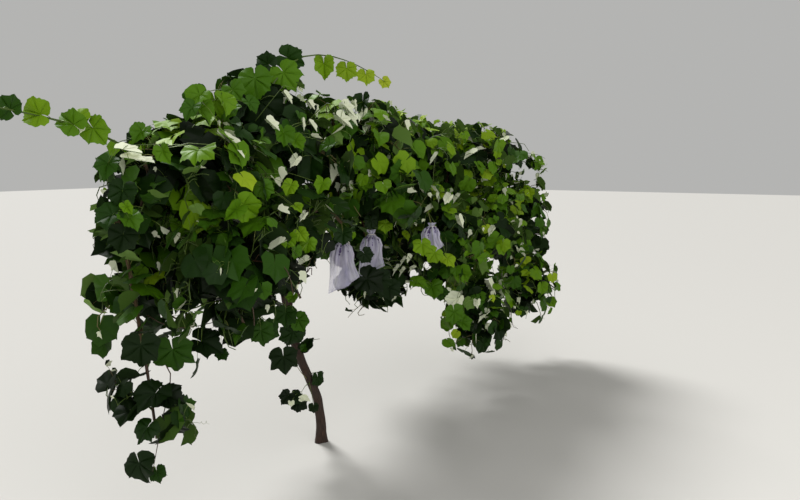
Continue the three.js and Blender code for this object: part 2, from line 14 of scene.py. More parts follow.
import bpy
import numpy as np
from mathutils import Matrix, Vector


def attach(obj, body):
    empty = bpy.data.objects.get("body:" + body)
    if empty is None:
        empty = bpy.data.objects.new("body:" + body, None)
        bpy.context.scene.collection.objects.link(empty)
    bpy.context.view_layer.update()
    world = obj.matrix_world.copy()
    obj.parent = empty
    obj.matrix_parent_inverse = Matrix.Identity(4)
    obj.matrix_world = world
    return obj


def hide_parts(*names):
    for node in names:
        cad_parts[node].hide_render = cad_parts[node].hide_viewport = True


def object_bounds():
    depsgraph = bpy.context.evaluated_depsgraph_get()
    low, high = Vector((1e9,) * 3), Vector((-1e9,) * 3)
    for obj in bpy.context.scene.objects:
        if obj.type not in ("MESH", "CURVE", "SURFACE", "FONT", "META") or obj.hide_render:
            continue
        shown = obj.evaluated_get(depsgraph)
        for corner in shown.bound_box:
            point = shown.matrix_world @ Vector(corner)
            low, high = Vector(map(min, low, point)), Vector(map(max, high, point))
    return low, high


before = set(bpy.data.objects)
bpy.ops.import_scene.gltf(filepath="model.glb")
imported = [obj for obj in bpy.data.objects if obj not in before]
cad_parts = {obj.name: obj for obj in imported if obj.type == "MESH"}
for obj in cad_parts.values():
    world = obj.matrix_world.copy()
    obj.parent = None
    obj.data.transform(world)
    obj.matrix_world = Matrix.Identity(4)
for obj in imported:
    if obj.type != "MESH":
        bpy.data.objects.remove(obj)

CAD_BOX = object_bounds()
BODY = "root"
LOG = logging.getLogger("grapevine")
Array = np.ndarray
Point = tuple[float, float, float]
Pair = tuple[float, float]
Colour = tuple[int, int, int]

UP = np.array([0.0, 0.0, 1.0])
SUN = np.array([0.25, 0.60, 0.76])
EYE = np.array([-2.6618, -2.0350, 1.400])
HEADING = math.radians(30.573)
AHEAD = np.array([math.cos(HEADING), math.sin(HEADING), 0.0])
ACROSS = np.array([math.sin(HEADING), -math.cos(HEADING), 0.0])
GOLDEN_ANGLE = math.pi * (3 - math.sqrt(5))
TURN = 2 * math.pi
ANY_START = (0, 6.3)
SHORTEST = 1e-9
CURVE_STEPS = 33
# A quad's corners taken the other way round, which turns its face
BACKWARD = (0, 3, 2, 1)
LIMB_STEPS = 600
TRUNK_STEPS = 260
SRGB_KNEE = 0.04045
SRGB_SLOPE = 12.92
SRGB_OFFSET = 0.055
SRGB_SCALE = 1.055
SRGB_POWER = 2.4

# Trunk, arms and cordons, as the part's source draws them
FORK = (-0.240, -0.005, 0.740)
TRUNK_POINTS = ((0, 0, 0), (0, 0, 0.030), (-0.030, -0.009, 0.215), (-0.138, -0.010, 0.425), (-0.222, -0.010, 0.610))
TRUNK_RADIUS = 0.023
TRUNK_TOP_RADIUS = 0.020
FORK_RADIUS = 0.031
HEAD_HEIGHT = 0.045
FLARE_RADIUS = 0.013
FLARE_HEIGHT = 0.060
FLARE_LOBES = 0.35
CORDON_HEIGHT = 1.205
CORDON_Y = 0.015
LEFT_BEND_X = -0.540
RIGHT_BEND_X = -0.020
LEFT_END_X = -1.160
RIGHT_END_X = 2.090
ARM_RISE = ((0.16, 0.33), (0.46, 0.72))
ARM_START_SPREAD = 0.009
ARM_START_SINK = 0.008
BEND_DROP = 0.038
CORDON_POINT_PITCH = 0.300
CORDON_WAVE = 0.012
CORDON_WAVELENGTH = 0.900
ARM_RADIUS = 0.017
CORDON_TIP_RADIUS = 0.009
BOUGH_RADIUS = 0.008
BOUGH_TIP_RADIUS = 0.007
BOUGH_MIN_LENGTH = 0.110
BOUGH_ARCH = 0.1
ENTRY_DEPTH = 0.85

# Spaces of the crown, as the part's source lays them out
CROWN_Y = -0.020
CROWN_DEPTH = 0.395
CURTAIN_Y = 0.290
CURTAIN_DEPTH = 0.240
CURTAIN_TOP = 1.265
CURTAIN_MIN_HEIGHT = 0.300
CURTAIN_WIDTH = 0.300
FRONT_ROOT_SHIFT = 0.075
BACK_WIDTH = 0.410


def linear(red: int, green: int, blue: int) -> tuple[float, float, float, float]:
    """Turns an 8-bit screen colour into the linear colour that a shader takes."""
    shares = (value / 255 for value in (red, green, blue))
    return (*(
        share / SRGB_SLOPE if share <= SRGB_KNEE else ((share + SRGB_OFFSET) / SRGB_SCALE) ** SRGB_POWER
        for share in shares
    ), 1.0)


def unit(vectors: Array) -> Array:
    """Scales each vector of an array to length 1."""
    return vectors / np.maximum(np.linalg.norm(vectors, axis=-1, keepdims=True), SHORTEST)


def across_face(tips: Array, faces: Array) -> Array:
    """Turns each tip into the plane that lies square to its face."""
    return unit(tips - np.sum(tips * faces, axis=1, keepdims=True) * faces)


def lerp(start: float | Array, end: float | Array, share: float | Array) -> float | Array:
    """Blends evenly from start to end."""
    return start + (end - start) * share


def resample(points: Array, count: int) -> Array:
    """Walks a polyline in equal steps of its length.

    Args:
        points: the polyline, one row for each point.
        count: how many points the result has.

    Returns:
        The points at equal steps.
    """
    steps = np.linalg.norm(np.diff(points, axis=0), axis=1)
    length = np.concatenate([[0.0], np.cumsum(steps)])
    stations = np.linspace(0, length[-1], count)
    return np.stack([np.interp(stations, length, points[:, axis]) for axis in range(3)], axis=1)


def smooth_line(points: Sequence[Point] | Array, count: int) -> Array:
    """Draws a centripetal Catmull-Rom line: each stretch is a cubic whose end tangents weigh the neighbouring
    stretches by the square root of their length.

    Args:
        points: the points that the line passes.
        count: how many points the result has, at equal steps of length.

    Returns:
        The sampled line.
    """
    known = np.asarray(points, float)
    ends = np.vstack([2 * known[0] - known[1], known, 2 * known[-1] - known[-2]])
    before, start, end, after = ends[:-3, None], ends[1:-2, None], ends[2:-1, None], ends[3:, None]
    first, middle, last = (
        np.sqrt(np.linalg.norm(b - a, axis=-1, keepdims=True))
        for a, b in ((before, start), (start, end), (end, after))
    )
    leave = middle * ((start - before) / first - (end - before) / (first + middle) + (end - start) / middle)
    arrive = middle * ((end - start) / middle - (after - start) / (middle + last) + (after - end) / last)
    t = np.linspace(0, 1, CURVE_STEPS)[None, :, None]
    cubic = (
        start + leave * t
        + (3 * (end - start) - 2 * leave - arrive) * t**2
        + (2 * (start - end) + leave + arrive) * t**3
    )
    return resample(cubic.reshape(-1, 3), count)


def bezier(controls: Sequence[Array], count: int) -> Array:
    """Draws a Bezier curve of any degree: each point weighs the controls by the Bernstein polynomials.

    Args:
        controls: the control points, of shape (3,) each.
        count: how many points the result has.

    Returns:
        The sampled curve.
    """
    t = np.linspace(0, 1, count)[:, None]
    degree = len(controls) - 1
    weights = (math.comb(degree, k) * t**k * (1 - t) ** (degree - k) for k in range(degree + 1))
    return sum(weight * np.asarray(control, float) for weight, control in zip(weights, controls))


@dataclass
class Shell:
    """A closed surface still held as arrays, with the material slot and grain of each face."""

    points: Array
    quads: Array = field(default_factory=lambda: np.zeros((0, 4), int))
    triangles: Array = field(default_factory=lambda: np.zeros((0, 3), int))
    quad_slots: Array | None = None
    triangle_slots: Array | None = None
    grain: Array | None = None

    def __post_init__(self) -> None:
        """Gives faces with no slot of their own the first slot, and quads with no grain an empty one."""
        if self.quad_slots is None:
            self.quad_slots = np.zeros(len(self.quads), int)
        if self.triangle_slots is None:
            self.triangle_slots = np.zeros(len(self.triangles), int)
        if self.grain is None:
            self.grain = np.zeros((len(self.quads), 4, 2))

    @staticmethod
    def joined(shells: Iterable["Shell"]) -> "Shell":
        """Puts several shells in one, each face keeping its slot."""
        parts = list(shells)
        starts = np.cumsum([0] + [len(part.points) for part in parts[:-1]])
        return Shell(
            np.concatenate([part.points for part in parts]),
            np.concatenate([part.quads + start for part, start in zip(parts, starts)]),
            np.concatenate([part.triangles + start for part, start in zip(parts, starts)]),
            np.concatenate([part.quad_slots for part in parts]),
            np.concatenate([part.triangle_slots for part in parts]),
            np.concatenate([part.grain for part in parts]),
        )

    def piece(
        self, name: str, materials: Sequence[bpy.types.Material], sharp: float | None = None,
    ) -> bpy.types.Object:
        """Makes the mesh object of this shell, smooth but for edges sharper than an angle.

        Args:
            name: name of the piece.
            materials: one material for each slot.
            sharp: angle in radians past which an edge stays sharp, or None.

        Returns:
            The object, at the origin.
        """
        mesh = bpy.data.meshes.new(name)
        sizes = np.concatenate([np.full(len(self.quads), 4), np.full(len(self.triangles), 3)])
        corners = np.concatenate([self.quads.ravel(), self.triangles.ravel()])
        mesh.vertices.add(len(self.points))
        mesh.vertices.foreach_set("co", self.points.astype(np.float32).ravel())
        mesh.loops.add(len(corners))
        mesh.loops.foreach_set("vertex_index", corners.astype(np.int32))
        mesh.polygons.add(len(sizes))
        mesh.polygons.foreach_set("loop_start", (np.cumsum(sizes) - sizes).astype(np.int32))
        mesh.polygons.foreach_set("material_index", np.concatenate([self.quad_slots, self.triangle_slots]))
        mesh.polygons.foreach_set("use_smooth", np.ones(len(sizes), bool))
        grain = np.concatenate([self.grain.reshape(-1, 2), np.zeros((3 * len(self.triangles), 2))])
        mesh.uv_layers.new(name="grain").data.foreach_set("uv", grain.ravel())
        mesh.update(calc_edges=True)
        if sharp is not None:
            mesh.set_sharp_from_angle(angle=sharp)
        for material in materials:
            mesh.materials.append(material)
        piece = bpy.data.objects.new(name, mesh)
        bpy.context.scene.collection.objects.link(piece)
        return piece


def place(piece: bpy.types.Object, nodes: Iterable[str] = ()) -> None:
    """Rides a finished piece on the plant, hides the nodes that it stands for and logs how many they are."""
    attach(piece, BODY)
    names = list(nodes)
    if names:
        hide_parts(*names)
    LOG.info("%s: %d faces, stands for %d nodes", piece.name, len(piece.data.polygons), len(names))


def ring_quads(rings: int, sides: int) -> Array:
    """Lists the quads between rings of points that each close on themselves."""
    ring, side = np.meshgrid(np.arange(rings - 1), np.arange(sides), indexing="ij")
    here = (ring * sides + side).ravel()
    following = (ring * sides + (side + 1) % sides).ravel()
    return np.stack([here, following, following + sides, here + sides], axis=1)


def ring_caps(rings: int, sides: int) -> Array:
    """Lists the triangles that close the first and last ring on two centre points, numbered after the rings."""
    edge = np.arange(sides)
    turn = (edge + 1) % sides
    last = (rings - 1) * sides
    foot = np.stack([turn, edge, np.full(sides, rings * sides)], axis=1)
    head = np.stack([last + edge, last + turn, np.full(sides, rings * sides + 1)], axis=1)
    return np.concatenate([foot, head])


def copies(points: Array, quads: Array, triangles: Array, **slots: Array) -> Shell:
    """Puts many copies of one numbered shape in a shell.

    Args:
        points: the points of each copy, of shape (copies, points, 3).
        quads: the quads of one copy.
        triangles: the triangles of one copy.
        slots: slots of the faces, by the field of Shell that keeps them.

    Returns:
        The copies as one shell.
    """
    starts = (np.arange(len(points)) * points.shape[1])[:, None, None]
    quads, triangles = (quads[None] + starts).reshape(-1, 4), (triangles[None] + starts).reshape(-1, 3)
    return Shell(points.reshape(-1, 3), quads, triangles, **slots)


def tubes(lines: Array, radii: Array, sides: int, slots: Array | int = 0, across: Array | None = None) -> Shell:
    """Carries a circle along many lines at once: each ring is the line's point plus the radius times
    (cosine of the angle times the normal plus sine times the binormal). The normal is the tangent crossed with
    one direction across the whole line, so that rings don't twist. Both ends close on a centre point.

    Args:
        lines: points of the lines, of shape (tubes, rings, 3).
        radii: radius at each ring, of shape (tubes, rings).
        sides: corners of each ring.
        slots: material slot of each tube, or one for all.
        across: direction that lies across each line, of shape (tubes, 3), or None to find one.

    Returns:
        The tubes as one shell.
    """
    count, rings = lines.shape[:2]
    tangents = unit(np.gradient(lines, axis=1))
    if across is None:
        run = unit(lines[:, -1] - lines[:, 0])
        across = np.eye(3)[np.argmin(np.abs(run), axis=1)]
    normals = unit(np.cross(tangents, across[:, None]))
    binormals = np.cross(tangents, normals)
    angles = TURN * np.arange(sides) / sides
    circle = normals[:, :, None] * np.cos(angles)[:, None] + binormals[:, :, None] * np.sin(angles)[:, None]
    wall = lines[:, :, None] + radii[:, :, None, None] * circle
    points = np.concatenate([wall.reshape(count, -1, 3), lines[:, :1], lines[:, -1:]], axis=1)
    quads, caps = ring_quads(rings, sides), ring_caps(rings, sides)
    chosen = np.broadcast_to(np.asarray(slots), (count,))
    return copies(
        points, quads, caps, quad_slots=np.repeat(chosen, len(quads)), triangle_slots=np.repeat(chosen, len(caps)),
    )


# Finishes


NOISE_DETAIL = 5.0
# Sockets of a Mix node that is set to colours
MIX_DARK = 6
MIX_LIGHT = 7
MIX_COLOUR = 2


class Shade:
    """Builds the node tree of one material with few words."""

    def __init__(self, name: str, roughness: float) -> None:
        """Starts a material with a Principled shader of one roughness."""
        self.material = bpy.data.materials.new(name)
        self.material.use_nodes = True
        self.nodes = self.material.node_tree.nodes
        self.links = self.material.node_tree.links
        self.shader = self.nodes["Principled BSDF"]
        self.shader.inputs["Roughness"].default_value = roughness

    def add(self, kind: str, tree: bpy.types.NodeTree | None = None, **inputs: object) -> bpy.types.Node:
        """Adds a node, or a group with its tree, and sets inputs by name, with underscores for spaces."""
        node = self.nodes.new(kind)
        if tree is not None:
            node.node_tree = tree
        for name, value in inputs.items():
            node.inputs[name.replace("_", " ")].default_value = value
        return node

    def mottled(self, tree: bpy.types.NodeTree, source: bpy.types.NodeSocket, **inputs: object) -> bpy.types.Node:
        """Adds the mottle group with its own values, reading its place from a socket."""
        node = self.add("ShaderNodeGroup", tree, **inputs)
        self.links.new(source, node.inputs["Vector"])
        return node

    def grain(self) -> bpy.types.NodeSocket:
        """Reads the piece's own grain, in metres across and along it."""
        node = self.add("ShaderNodeUVMap")
        node.uv_map = "grain"
        return node.outputs["UV"]

    def bump(self, height: bpy.types.NodeSocket, strength: float, distance: float) -> None:
        """Leads a height into the shader's normal."""
        node = self.add("ShaderNodeBump", Strength=strength, Distance=distance)
        self.links.new(height, node.inputs["Height"])
        self.links.new(node.outputs["Normal"], self.shader.inputs["Normal"])


def mottle_group() -> bpy.types.NodeTree:
    """Makes the effect that bark, cloth and grapes share: two colours mixed by stretched noise, in threads or
    patches, with the mask put out as a height. The noise is spread by the contrast each side of a half."""
    tree = bpy.data.node_groups.new("mottle", "ShaderNodeTree")
    sockets = (
        ("Vector", "NodeSocketVector", (0.0, 0.0, 0.0)),
        ("Stretch", "NodeSocketVector", (1.0, 1.0, 1.0)),
        ("Scale", "NodeSocketFloat", 100.0),
        ("Dark", "NodeSocketColor", (0.02, 0.02, 0.02, 1)),
        ("Light", "NodeSocketColor", (0.2, 0.2, 0.2, 1)),
        ("Contrast", "NodeSocketFloat", 0.3),
    )
    for label, kind, value in sockets:
        tree.interface.new_socket(label, in_out="INPUT", socket_type=kind).default_value = value
    for label, kind in (("Color", "NodeSocketColor"), ("Height", "NodeSocketFloat")):
        tree.interface.new_socket(label, in_out="OUTPUT", socket_type=kind)
    given, result = tree.nodes.new("NodeGroupInput").outputs, tree.nodes.new("NodeGroupOutput").inputs
    stretch = tree.nodes.new("ShaderNodeVectorMath")
    stretch.operation = "MULTIPLY"
    noise = tree.nodes.new("ShaderNodeTexNoise")
    noise.inputs["Detail"].default_value = NOISE_DETAIL
    low, high = tree.nodes.new("ShaderNodeMath"), tree.nodes.new("ShaderNodeMath")
    low.operation = "SUBTRACT"
    spread = tree.nodes.new("ShaderNodeMapRange")
    for edge, end in ((low, "From Min"), (high, "From Max")):
        edge.inputs[0].default_value = 0.5
        tree.links.new(given["Contrast"], edge.inputs[1])
        tree.links.new(edge.outputs[0], spread.inputs[end])
    mix = tree.nodes.new("ShaderNodeMix")
    mix.data_type = "RGBA"
    for source, target in (
        (given["Vector"], stretch.inputs[0]), (given["Stretch"], stretch.inputs[1]),
        (stretch.outputs[0], noise.inputs["Vector"]), (given["Scale"], noise.inputs["Scale"]),
        (noise.outputs["Fac"], spread.inputs["Value"]), (spread.outputs["Result"], mix.inputs["Factor"]),
        (given["Dark"], mix.inputs[MIX_DARK]), (given["Light"], mix.inputs[MIX_LIGHT]),
        (mix.outputs[MIX_COLOUR], result["Color"]), (spread.outputs["Result"], result["Height"]),
    ):
        tree.links.new(source, target)
    return tree


@dataclass(frozen=True)
class BarkFinish:
    """Stringy bark: dark furrows and paler strips that run along the limb."""

    name: str
    furrow: Colour
    strip: Colour
    moss: Colour
    moss_share: float = 0.45

    def material(self, mottle: bpy.types.NodeTree) -> bpy.types.Material:
        """Mixes long threads with broad patches, and lets the threads stand up as relief."""
        shade = Shade(self.name, roughness=0.93)
        threads = shade.mottled(
            mottle, shade.grain(), Stretch=(1.0, 0.07, 1.0), Scale=420.0, Contrast=0.16,
            Dark=linear(*self.furrow), Light=linear(*self.strip),
        )
        place_of = shade.add("ShaderNodeTexCoord").outputs["Object"]
        patches = shade.mottled(mottle, place_of, Scale=22.0, Contrast=0.1)
        weight = shade.add("ShaderNodeMath")
        weight.operation = "MULTIPLY"
        weight.inputs[1].default_value = self.moss_share
        mix = shade.add("ShaderNodeMix")
        mix.data_type = "RGBA"
        mix.inputs[MIX_LIGHT].default_value = linear(*self.moss)
        shade.links.new(patches.outputs["Height"], weight.inputs[0])
        shade.links.new(weight.outputs[0], mix.inputs["Factor"])
        shade.links.new(threads.outputs["Color"], mix.inputs[MIX_DARK])
        shade.links.new(mix.outputs[MIX_COLOUR], shade.shader.inputs["Base Color"])
        shade.bump(threads.outputs["Height"], strength=0.7, distance=0.0012)
        return shade.material


@dataclass(frozen=True)
class PlainFinish:
    """One even colour, dealt out among leaves, canes or veins."""

    name: str
    colour: Colour
    roughness: float = 0.5
    gloss: float = 0.5

    def material(self) -> bpy.types.Material:
        """Sets the colour, roughness and gloss on the shader itself."""
        shade = Shade(self.name, self.roughness)
        shade.shader.inputs["Base Color"].default_value = linear(*self.colour)
        shade.shader.inputs["Specular IOR Level"].default_value = self.gloss
        return shade.material


def plain_materials(
    name: str, colours: Sequence[Colour], roughnesses: Sequence[float], gloss: float = 0.5,
) -> list[bpy.types.Material]:
    """Makes one plain material for each colour, with the roughnesses in turn."""
    return [
        PlainFinish(f"{name}_{index}", colour, roughnesses[index % len(roughnesses)], gloss).material()
        for index, colour in enumerate(colours)
    ]


@dataclass(frozen=True)
class ClothFinish:
    """Sheer woven cloth that lets the fruit show through between its threads."""

    name: str = "sheer_bag_cloth"

    def material(self, mottle: bpy.types.NodeTree) -> bpy.types.Material:
        """Mottles the white softly with lavender streaks of painted shade, thins the cloth between its threads and
        raises the threads a little.
        """
        shade = Shade(self.name, roughness=0.62)
        grain = shade.grain()
        # Painted shade: darker lavender streaks that stand in for shade in the cloth's creases
        crease_shade = shade.mottled(
            mottle, grain, Stretch=(1.0, 0.12, 1.0), Scale=70.0, Contrast=0.2,
            Dark=linear(178, 174, 208), Light=linear(244, 242, 250),
        )
        weave = shade.mottled(
            mottle, grain, Stretch=(1.0, 0.12, 1.0), Scale=90.0, Contrast=0.2,
            Dark=(0.36, 0.36, 0.36, 1), Light=(0.74, 0.74, 0.74, 1),
        )
        places = shade.add("ShaderNodeSeparateXYZ")
        thinning = shade.add("ShaderNodeMapRange", From_Min=0.02, From_Max=0.16, To_Min=1.30, To_Max=0.82)
        alpha = shade.add("ShaderNodeMath")
        alpha.operation = "MULTIPLY"
        shade.links.new(crease_shade.outputs["Color"], shade.shader.inputs["Base Color"])
        shade.links.new(grain, places.inputs[0])
        shade.links.new(places.outputs["Y"], thinning.inputs["Value"])
        shade.links.new(weave.outputs["Color"], alpha.inputs[0])
        shade.links.new(thinning.outputs["Result"], alpha.inputs[1])
        shade.links.new(alpha.outputs[0], shade.shader.inputs["Alpha"])
        shade.bump(weave.outputs["Height"], strength=0.25, distance=0.0004)
        shade.shader.inputs["Sheen Weight"].default_value = 0.4
        return shade.material


@dataclass(frozen=True)
class GrapeFinish:
    """Purple skin under a dusty bloom."""

    name: str = "grape_skin"

    def material(self, mottle: bpy.types.NodeTree) -> bpy.types.Material:
        """Mixes dark purple and pale bloom in soft patches the size of a berry."""
        shade = Shade(self.name, roughness=0.42)
        place_of = shade.add("ShaderNodeTexCoord").outputs["Object"]
        bloom = shade.mottled(
            mottle, place_of, Scale=120.0, Contrast=0.2, Dark=linear(46, 22, 66), Light=linear(104, 84, 140),
        )
        shade.links.new(bloom.outputs["Color"], shade.shader.inputs["Base Color"])
        return shade.material


# Greens from deep shade to full sun, then two of young growth and one that has turned
BLADE_COLOURS = (
    (11, 25, 3), (15, 34, 4), (21, 46, 5), (29, 59, 6), (39, 73, 7), (51, 88, 8), (64, 103, 9),
    (78, 118, 10), (93, 132, 12), (108, 144, 14), (124, 155, 18), (144, 170, 30), (168, 184, 44), (160, 130, 42),
)
SUN_TONES = 11
YOUNG_TONE = 11
TURNED_TONE = 9
# Veins and undersides run like the blades from painted shade to painted sun, picked by each leaf's light. The last
# underside is near white: partly the real pale underside, partly a painted glint of light.
VEIN_COLOURS = ((18, 38, 6), (35, 66, 8), (70, 108, 14), (104, 137, 24))
UNDERSIDE_COLOURS = ((26, 46, 12), (58, 84, 26), (94, 124, 54), (224, 229, 200))
GLINT_UNDERSIDE = 3
CANE_COLOURS = ((70, 92, 28), (104, 96, 50), (70, 48, 32))
PETIOLE_COLOURS = ((104, 128, 46), (132, 138, 70), (98, 76, 46))


class Wood(Enum):
    """Age of the wood, which sets the depth of its bark."""

    OLD = 0.0021
    MIDDLE = 0.0013
    YOUNG = 0.0006


@dataclass(frozen=True)
class Space:
    """The space of one mass of leaves: an ellipsoid round its centre, and where its bough starts.

    The bough aims at the space of the part's solid. The leaves keep to a lower top where the crown does. A skirt's
    leaves show over a foot, its height in the plane of the lower edge.
    """

    name: str
    centre: Point
    reach: Point
    root_x: float
    light: float
    width: float
    rises: bool = False
    dresses_bough: bool = False
    fullness: float = 1.0
    seen_foot: float = 0.0

    def depth(self, points: Array) -> Array:
        """0 at the middle of the space, 1 on its skin."""
        return np.linalg.norm((points - self.centre) / np.asarray(self.reach), axis=-1)

    def at(self, direction: Array, share: float) -> Array:
        """Point in a direction from the middle, at a share of the reach."""
        return direction * np.asarray(self.reach) * share + self.centre

    def outward(self, points: Array) -> Array:
        """Direction that points out of the space at each point."""
        return unit((points - self.centre) / np.asarray(self.reach) ** 2)

    def lowered(self, top: float) -> "Space":
        """The same space with a lower top and the same foot."""
        foot = self.centre[2] - self.reach[2]
        half = (top - foot) / 2
        return replace(self, centre=(*self.centre[:2], foot + half), reach=(*self.reach[:2], half))


@dataclass(frozen=True)
class Bay:
    """One length of the row: its crown over the cordon and its front curtain."""

    name: str
    x: float
    reach: float
    top: float
    crown_foot: float
    curtain_x: float
    foot: float
    leaf_top: float
    crown_light: float
    curtain_light: float
    leaf_width: float
    fullness: float = 1.0

    def crown(self) -> Space:
        """Gives the crown's space."""
        middle = (self.top + self.crown_foot) / 2
        return Space(
            f"crown_{self.name}", (self.x, CROWN_Y, middle), (self.reach, CROWN_DEPTH, self.top - middle),
            self.x, self.crown_light, self.leaf_width, rises=True, fullness=self.fullness,
        )

    def front(self) -> Space:
        """Gives the front curtain's space."""
        top = max(CURTAIN_TOP, self.foot + CURTAIN_MIN_HEIGHT)
        middle = (top + self.foot) / 2
        return Space(
            f"front_{self.name}", (self.curtain_x, -CURTAIN_Y, middle), (CURTAIN_WIDTH, CURTAIN_DEPTH, top - middle),
            self.x - FRONT_ROOT_SHIFT, self.curtain_light, self.leaf_width, fullness=self.fullness,
        )


# Name; x, reach, top and foot of the crown; x and foot of the curtain; top of the crown's leaves; light of the
# crown and of the curtain; width of a leaf; and how full the bay is
BAYS = (
    Bay("left_end", -0.850, 0.300, 1.590, 1.090, -0.830, 0.640, 1.560, 0.48, 0.17, 0.114, 1.3),
    Bay("left", -0.400, 0.330, 1.900, 1.090, -0.500, 0.690, 1.880, 0.50, 0.11, 0.118, 1.15),
    Bay("middle", 0.170, 0.350, 1.840, 1.120, 0.170, 1.060, 1.740, 0.62, 0.40, 0.106, 1.25),
    Bay("right", 0.780, 0.350, 1.810, 1.110, 0.750, 0.610, 1.700, 0.68, 0.60, 0.099),
    Bay("far", 1.400, 0.350, 1.790, 1.110, 1.400, 0.620, 1.660, 0.70, 0.62, 0.099),
    Bay("far_end", 2.020, 0.350, 1.770, 1.090, 2.010, 0.620, 1.660, 0.68, 0.60, 0.104),
)
# Name, x and foot of each curtain behind the row
BACKS = (("left", -0.800, 0.610), ("middle", 0.030, 0.860), ("right", 0.860, 0.560), ("far", 1.700, 0.580))
BACK_LIGHT = 0.62
BACK_LEAF_WIDTH = 0.116
SKIRTS = (
    Space("skirt_left", (-1.075, -0.090, 0.540), (0.170, 0.170, 0.270), -1.120, 0.14, 0.104, dresses_bough=True,
          fullness=0.13, seen_foot=0.420),
    Space("skirt_middle", (0.480, -0.030, 0.720), (0.270, 0.190, 0.190), 0.330, 0.12, 0.110, dresses_bough=True,
          seen_foot=0.655),
    Space("skirt_near", (1.050, -0.390, 0.500), (0.290, 0.200, 0.280), 1.110, 0.56, 0.104, dresses_bough=True),
    Space("skirt_far", (1.900, -0.370, 0.490), (0.310, 0.210, 0.290), 1.715, 0.56, 0.104, dresses_bough=True),
)
# Upper and lower edge of the crown as they show from the eye, as heights along the row in a plane across it
TOP_PLANE = -0.020
TOP_EDGE = np.array((
    (-1.40, 1.40), (-1.17, 1.45), (-0.99, 1.52), (-0.82, 1.58), (-0.72, 1.66), (-0.56, 1.75), (-0.40, 1.79),
    (-0.20, 1.80), (-0.06, 1.74), (0.09, 1.70), (0.21, 1.68), (0.44, 1.74), (0.75, 1.71), (1.11, 1.63),
    (1.69, 1.67), (2.32, 1.64), (2.87, 1.50),
))
FOOT_PLANE = -0.290
FOOT_EDGE = np.array((
    (-2.00, 0.60), (-1.40, 0.68), (-1.13, 0.70), (-0.98, 0.72), (-0.73, 0.74), (-0.60, 0.77), (-0.48, 0.85),
    (-0.43, 0.92), (-0.34, 0.98), (-0.20, 0.90), (-0.15, 0.84), (0.26, 0.72), (0.50, 0.70), (0.72, 0.60),
    (0.90, 0.45), (1.30, 0.22), (3.00, 0.10),
))
EDGE_SPREAD = 0.016
NEAR_EDGE_X = -1.430
FAR_EDGE_X = 2.610
SIDE_ALLOWANCE = 0.012


def all_spaces() -> dict[str, Space]:
    """Lists the spaces in the planting order of the part's source, by name."""
    spaces = [space for bay in BAYS for space in (bay.crown(), bay.front())]
    for name, x, foot in BACKS:
        middle = (CURTAIN_TOP + foot) / 2
        reach = (BACK_WIDTH, CURTAIN_DEPTH, CURTAIN_TOP - middle)
        spaces.append(Space(f"back_{name}", (x, CURTAIN_Y, middle), reach, x, BACK_LIGHT, BACK_LEAF_WIDTH))
    return {space.name: space for space in (*spaces, *SKIRTS)}


def leaf_space(space: Space) -> Space:
    """The space that the leaves keep to: a crown's with its own lower top, or the same space."""
    tops = {f"crown_{bay.name}": bay.leaf_top for bay in BAYS}
    return space.lowered(tops[space.name]) if space.name in tops else space


def carried(points: Array, plane: float) -> Array:
    """Carries each point along its line from the eye into a plane across the row."""
    share = (plane - EYE[1]) / (points[:, 1:2] - EYE[1])
    return EYE + (points - EYE) * share


def under_top(points: Array, spread: float | Array = 0.0) -> Array:
    """Tells which points show under the crown's upper edge."""
    seen = carried(points, TOP_PLANE)
    return seen[:, 2] < np.interp(seen[:, 0], *TOP_EDGE.T) + spread


def over_foot(points: Array, spread: float | Array = 0.0) -> Array:
    """Tells which points show over the crown's lower edge and between its two ends."""
    seen = carried(points, FOOT_PLANE)
    between = (seen[:, 0] > NEAR_EDGE_X) & (seen[:, 0] < FAR_EDGE_X)
    return between & (seen[:, 2] > np.interp(seen[:, 0], *FOOT_EDGE.T) + spread)


class Sights:
    """Parts of the plant that stay in view from the eye, each an upright ellipse that faces it."""

    NEARER = 0.010

    def __init__(self, middles: Sequence[Point], halves: Sequence[Pair]) -> None:
        """Keeps the middle of each sight, and half its width and height."""
        self.middles = np.asarray(middles, float)
        self.halves = np.asarray(halves, float)
        self.distance = (self.middles - EYE) @ AHEAD

    def hidden_by(self, points: Array, margin: float | Array) -> Array:
        """Tells which points stand before any of the sights.

        Args:
            points: the points.
            margin: how far each point reaches round itself.

        Returns:
            True for each point that hides a part of a sight.
        """
        distance = (points - EYE) @ AHEAD
        carry = self.distance[None] / distance[:, None]
        offset = EYE + (points - EYE)[:, None] * carry[..., None] - self.middles[None]
        reach = self.halves[None] + (np.zeros(len(points)) + margin)[:, None, None] * carry[..., None]
        inside = ((offset @ ACROSS) / reach[..., 0]) ** 2 + (offset[..., 2] / reach[..., 1]) ** 2 < 1
        return np.any(inside & (carry > 1 + self.NEARER / self.distance), axis=1)


